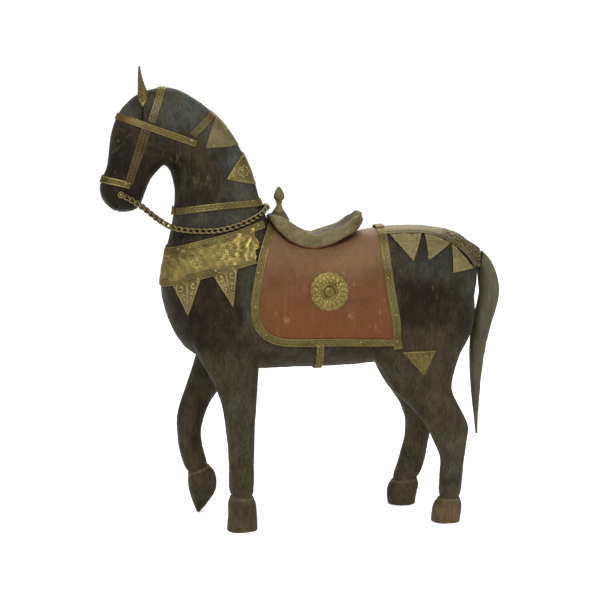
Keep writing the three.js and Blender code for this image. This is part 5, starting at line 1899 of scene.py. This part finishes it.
@dataclass
class Rein:
    """The twisted curb chain over the withers and the studs that hold its ends."""

    skin: Skin
    pitch: float = 0.0076
    wire: float = 0.0026
    width: float = 0.0076
    twist: float = 0.0019
    steps: int = 16
    sides: int = 8
    shank: float = 0.0012
    off_wood: float = 0.0042
    roll: float = 0.75
    roundness: float = 2.6

    def build(self) -> None:
        """Makes the chain and both studs."""
        self.chain()
        for word, side in SIDES:
            self.stud(word, side)

    def route(self) -> Array:
        """The middle of the chain, pushed clear of the wood and its sheets."""
        knots = np.array(REIN_ROUTE, float) * SHARE
        knots[:, 0] += SHIFT
        route = spline(knots, 1201)
        pushed = route.copy()
        for index, place in enumerate(route):
            off, way = self.skin.gap(place)
            pushed[index] += way * max(0.0, self.off_wood - off)
        for _ in range(40):
            pushed[1:-1] = 0.5 * pushed[1:-1] + 0.25 * (pushed[:-2] + pushed[2:])
        return pushed

    def chain(self) -> None:
        """Hangs link after link along the route."""
        route = self.route()
        overlap = 0.85 * self.wire
        start = (self.pitch + overlap - self.wire) / 2 - self.shank - 0.0003
        run = length_of(route) - 2 * start
        count = round(run / self.pitch)
        places = start + run / count * np.arange(count + 1)
        centres = along(route, places)
        ahead = along(route, places + MM) - along(route, places - MM)
        ahead /= np.linalg.norm(ahead, axis=1, keepdims=True)
        hanging = np.clip((side_point(-27.0, 0)[0] - centres[:, 0]) / 0.03, 0, 1)
        links = [
            self.link(centre, way, overlap, self.roll * float(free))
            for centre, way, free in zip(centres, ahead, hanging)
        ]
        chain = Bench.join("twisted_curb_chain", links)
        settle(chain, CHAIN_BRASS, ["rein_chain"], "chain_brass", 60)

    def link(self, centre: Array, ahead: Array, overlap: float, roll: float) -> Piece:
        """Bends one link of twisted wire.

        Args:
            centre: The link's middle.
            ahead: The way that the chain runs.
            overlap: How far it reaches into the next link.
            roll: How far it is turned about the chain, in radians.

        Returns:
            The link.
        """
        aside = float(np.clip(abs(centre[1]) / (5 * self.pitch), 0, 1))
        aside = aside * aside * (3 - 2 * aside)
        out = np.array([1 - aside, math.copysign(aside, centre[1]), 1 - aside])
        out -= ahead * float(out @ ahead)
        out /= np.linalg.norm(out)
        out = out * math.cos(roll) + np.cross(ahead, out) * math.sin(roll)
        axes = np.stack([ahead, np.cross(out, ahead), out])
        turn = np.linspace(0, TURN, self.steps, endpoint=False)
        round_x = np.sign(np.cos(turn)) * np.abs(np.cos(turn)) ** (2 / self.roundness)
        round_y = np.sign(np.sin(turn)) * np.abs(np.sin(turn)) ** (2 / self.roundness)
        heart = np.stack(
            [
                (self.pitch + overlap) / 2 * round_x,
                (self.width - self.wire) / 2 * round_y,
                self.twist * np.sin(2 * turn),
            ],
            axis=1,
        )
        forward = np.roll(heart, -1, axis=0) - np.roll(heart, 1, axis=0)
        forward /= np.linalg.norm(forward, axis=1, keepdims=True)
        side = np.cross(forward, [0.0, 0, 1.0])
        side /= np.linalg.norm(side, axis=1, keepdims=True)
        lift = np.cross(side, forward)
        around = np.linspace(0, TURN, self.sides + 1)
        rows = (
            heart[:, None]
            + side[:, None] * np.cos(around)[None, :, None] * self.wire / 2
            + lift[:, None] * np.sin(around)[None, :, None] * self.wire / 2
        )
        rows = np.concatenate([rows, rows[:1]])
        piece = Bench.grid("link", rows @ axes + centre)
        # Painted highlight on each link's outer face and painted shade on its inner face.
        outwards = np.broadcast_to(np.sin(around), rows.shape[:2])
        Bench.note(piece, "relief", (0.16 + 0.82 * np.clip(outwards, 0, 1) ** 2).reshape(-1))
        Bench.weld(piece)
        return piece

    def stud(self, word: str, side: int) -> None:
        """Turns a stud that holds an end of the chain."""
        place = side_point(*REIN_ROUTE[0][::2])
        found, _ = self.skin.flank(place[0], place[2], side)
        end = REIN_ROUTE[0][1] * SHARE
        top = (abs(end) - abs(found[1]) + self.twist + self.wire / 2 + 0.0009) / MM
        shank = [[2.6, -0.8], [2.9, 0.2], [2.4, 0.7], [1.2, 0.8]]
        head = [
            [1.15, -0.2], [3.5, -0.1], [4.1, 0.4], [4.1, 0.9], [3.6, 1.4], [3.0, 1.3], [2.5, 0.3], [2.0, 0.4],
            [1.5, 1.2], [0.9, 1.7], [0.3, 1.8],
        ]
        profile = shank + [[radius, top + rise] for radius, rise in head]
        stud = Bench.turned(f"bit_rosette_{word}", profile, found, np.array([0.0, side, 0]), smooth=False)
        places = Bench.points(stud)
        # Painted shade in the groove round the stud's dome.
        away = np.hypot(places[:, 0] - found[0], places[:, 2] - found[2])
        Bench.note(stud, "relief", 0.8 - 0.8 * ridge(away - 0.0024, 0.0007))
        settle(stud, MELLOW_BRASS, [f"bit_stud_{word}"], "bright_brass", 50)


# The nails through the brass and through the copper: x and z in the side view.
NAILS = [
    (-10.7, 71.7), (-16.5, 64.4), (-24.5, 62.4), (-26.8, 61.9), (-9.7, 66.7), (-12.0, 59.6), (-19.1, 57.4),
    (-10.9, 63.05), (-12.9, 78.2), (-10.2, 76.0),
    (-10.15, 57.0), (-9.0, 62.2), (-10.9, 49.8), (-8.6, 43.7), (2.8, 40.6), (17.75, 55.4), (19.4, 47.3),
    (20.1, 41.4), (-29.5, 95.4), (-23.6, 84.6), (-37.4, 75.6), (-18.9, 83.4), (-13.3, 83.9), (26.9, 59.6),
    (27.9, 59.9), (-33.6, 92.4), (-15.9, 76.6), (-9.3, 75.9), (-30.9, 69.2), (12.0, 41.4), (23.6, 59.6),
]
BLANKET_NAILS = [(2.6, 61.1), (-1.8, 54.4), (13.1, 54.8), (-7.3, 55.6), (8.4, 45.3)]


@dataclass
class Nails:
    """The small round nails that hold the sheets."""

    name: str
    places: Spots
    finish: Finish
    slot: str

    def build(self, sheets: Sequence[Piece]) -> None:
        """Drives nails through the sheets on both flanks."""
        trees = [Bench.tree(sheet) for sheet in sheets]
        profile = [[1.4, -0.5], [1.4, 0.05], [1.2, 0.5], [0.75, 0.8], [0.2, 0.9]]
        heads = []
        for _, side in SIDES:
            for x, z in self.places:
                place = side_point(x, z)
                start = Vector((place[0], side * FAR_SIDE, place[2]))
                found = [tree.ray_cast(start, Vector((0, -side, 0))) for tree in trees]
                found = [hit for hit in found if hit[0] is not None]
                if found:
                    spot, normal, _, _ = min(found, key=lambda hit: hit[3])
                    heads.append(Bench.turned("nail", profile, np.array(spot), np.array(normal), sides=14))
        nails = Bench.join(self.name, heads)
        Bench.note(nails, "relief", np.full(len(nails.data.vertices), 0.7))
        settle(nails, self.finish, [], self.slot, 60)


# Light and camera


@dataclass
class Studio:
    """The pale floor, the soft light and the camera."""

    target: tuple[float, float, float] = (-0.0063, 0.0, 0.29665)
    azimuth: float = -7.618
    elevation: float = 9.018
    distance: float = 1.71745
    lens: float = 78.0
    low_sky: float = 0.3
    high_sky: float = 0.9
    backdrop: float = 1.1
    floor_glow: float = 0.42

    def build(self) -> None:
        """Sets the floor, the lights and the camera."""
        self.floor()
        self.lights()
        self.camera()

    def floor(self) -> None:
        """A wide pale floor."""
        Bench.clear()
        bpy.ops.mesh.primitive_plane_add(size=60.0, location=(0, 0, -0.0004))
        floor = bpy.context.object
        floor.name = "floor"
        shades = Shades("pale_floor")
        shades.shader.inputs["Base Color"].default_value = colour(244, 244, 244)
        shades.shader.inputs["Roughness"].default_value = 0.9
        shades.shader.inputs["Emission Color"].default_value = colour(255, 255, 255)
        seen = shades.add("ShaderNodeLightPath", {}).outputs["Is Camera Ray"]
        shades.feed(shades.shader.inputs["Emission Strength"], shades.sum("MULTIPLY", seen, self.floor_glow))
        floor.data.materials.append(shades.material)

    def lights(self) -> None:
        """A white sky and three large soft lamps."""
        world = bpy.data.worlds.new("studio")
        world.use_nodes = True
        nodes, links = world.node_tree.nodes, world.node_tree.links
        sky = nodes["Background"]
        seen = nodes.new("ShaderNodeLightPath").outputs["Is Camera Ray"]
        way = nodes.new("ShaderNodeSeparateXYZ")
        links.new(nodes.new("ShaderNodeTexCoord").outputs["Generated"], way.inputs[0])
        rise = nodes.new("ShaderNodeMapRange")
        links.new(way.outputs["Z"], rise.inputs["Value"])
        limits = {"From Min": -0.2, "From Max": 1.0, "To Min": self.low_sky, "To Max": self.high_sky}
        for name, value in limits.items():
            rise.inputs[name].default_value = value
        strength = nodes.new("ShaderNodeMix")
        links.new(seen, strength.inputs[0])
        links.new(rise.outputs["Result"], strength.inputs[2])
        strength.inputs[3].default_value = self.backdrop
        links.new(strength.outputs[0], sky.inputs["Strength"])
        sky.inputs["Color"].default_value = colour(255, 255, 255)
        bpy.context.scene.world = world
        bpy.context.scene.view_settings.view_transform = "Standard"
        for name, place, size, power in (
            ("key", (-0.9, -1.9, 2.4), 1.4, 60.0),
            ("fill", (1.9, -1.6, 1.3), 2.0, 16.0),
            ("rim", (0.6, 2.1, 2.2), 1.8, 40.0),
        ):
            Bench.clear()
            bpy.ops.object.light_add(type="AREA", location=place)
            lamp = bpy.context.object
            lamp.name = name
            lamp.data.size = size
            lamp.data.energy = power
            aim = Vector(self.target) - Vector(place)
            lamp.rotation_euler = aim.to_track_quat("-Z", "Y").to_euler()

    def camera(self) -> None:
        """Stands the camera where the photograph was taken from."""
        turn, rise = math.radians(self.azimuth), math.radians(self.elevation)
        back = Vector((math.sin(turn) * math.cos(rise), -math.cos(turn) * math.cos(rise), math.sin(rise)))
        Bench.clear()
        bpy.ops.object.camera_add(location=Vector(self.target) + back * self.distance)
        camera = bpy.context.object
        camera.name = "camera"
        camera.data.lens = self.lens
        camera.data.sensor_width = 36.0
        camera.data.clip_end = 200.0
        camera.rotation_euler = back.to_track_quat("Z", "Y").to_euler()
        bpy.context.scene.camera = camera


def main() -> None:
    """Builds every piece in order."""
    logging.basicConfig(level=logging.INFO, format="%(name)s %(message)s")
    Studio().build()
    body = CarvedBody().block()
    shop = SheetShop(Skin(body))
    collar = Collar(shop)
    Bridle(shop).build()
    collar.build()
    Blanket(shop).build()
    Croup(shop, collar).build()
    Tail().build()
    Saddle(shop.skin).build()
    Ears(collar).build()
    Rein(shop.skin).build()
    sheets = [piece for piece, slot in FINISHED if slot != "chain_brass"]
    Nails("brass_nails", NAILS, BRIGHT_BRASS, "bright_brass").build(sheets)
    Nails("copper_nails", BLANKET_NAILS, COPPER, "copper_sheet").build(sheets)
    Carver(body, shop.skin).work()
    settle(body, WOOD, ["carved_body"], "carved_wood", 60)


if __name__ == "__main__":
    main()
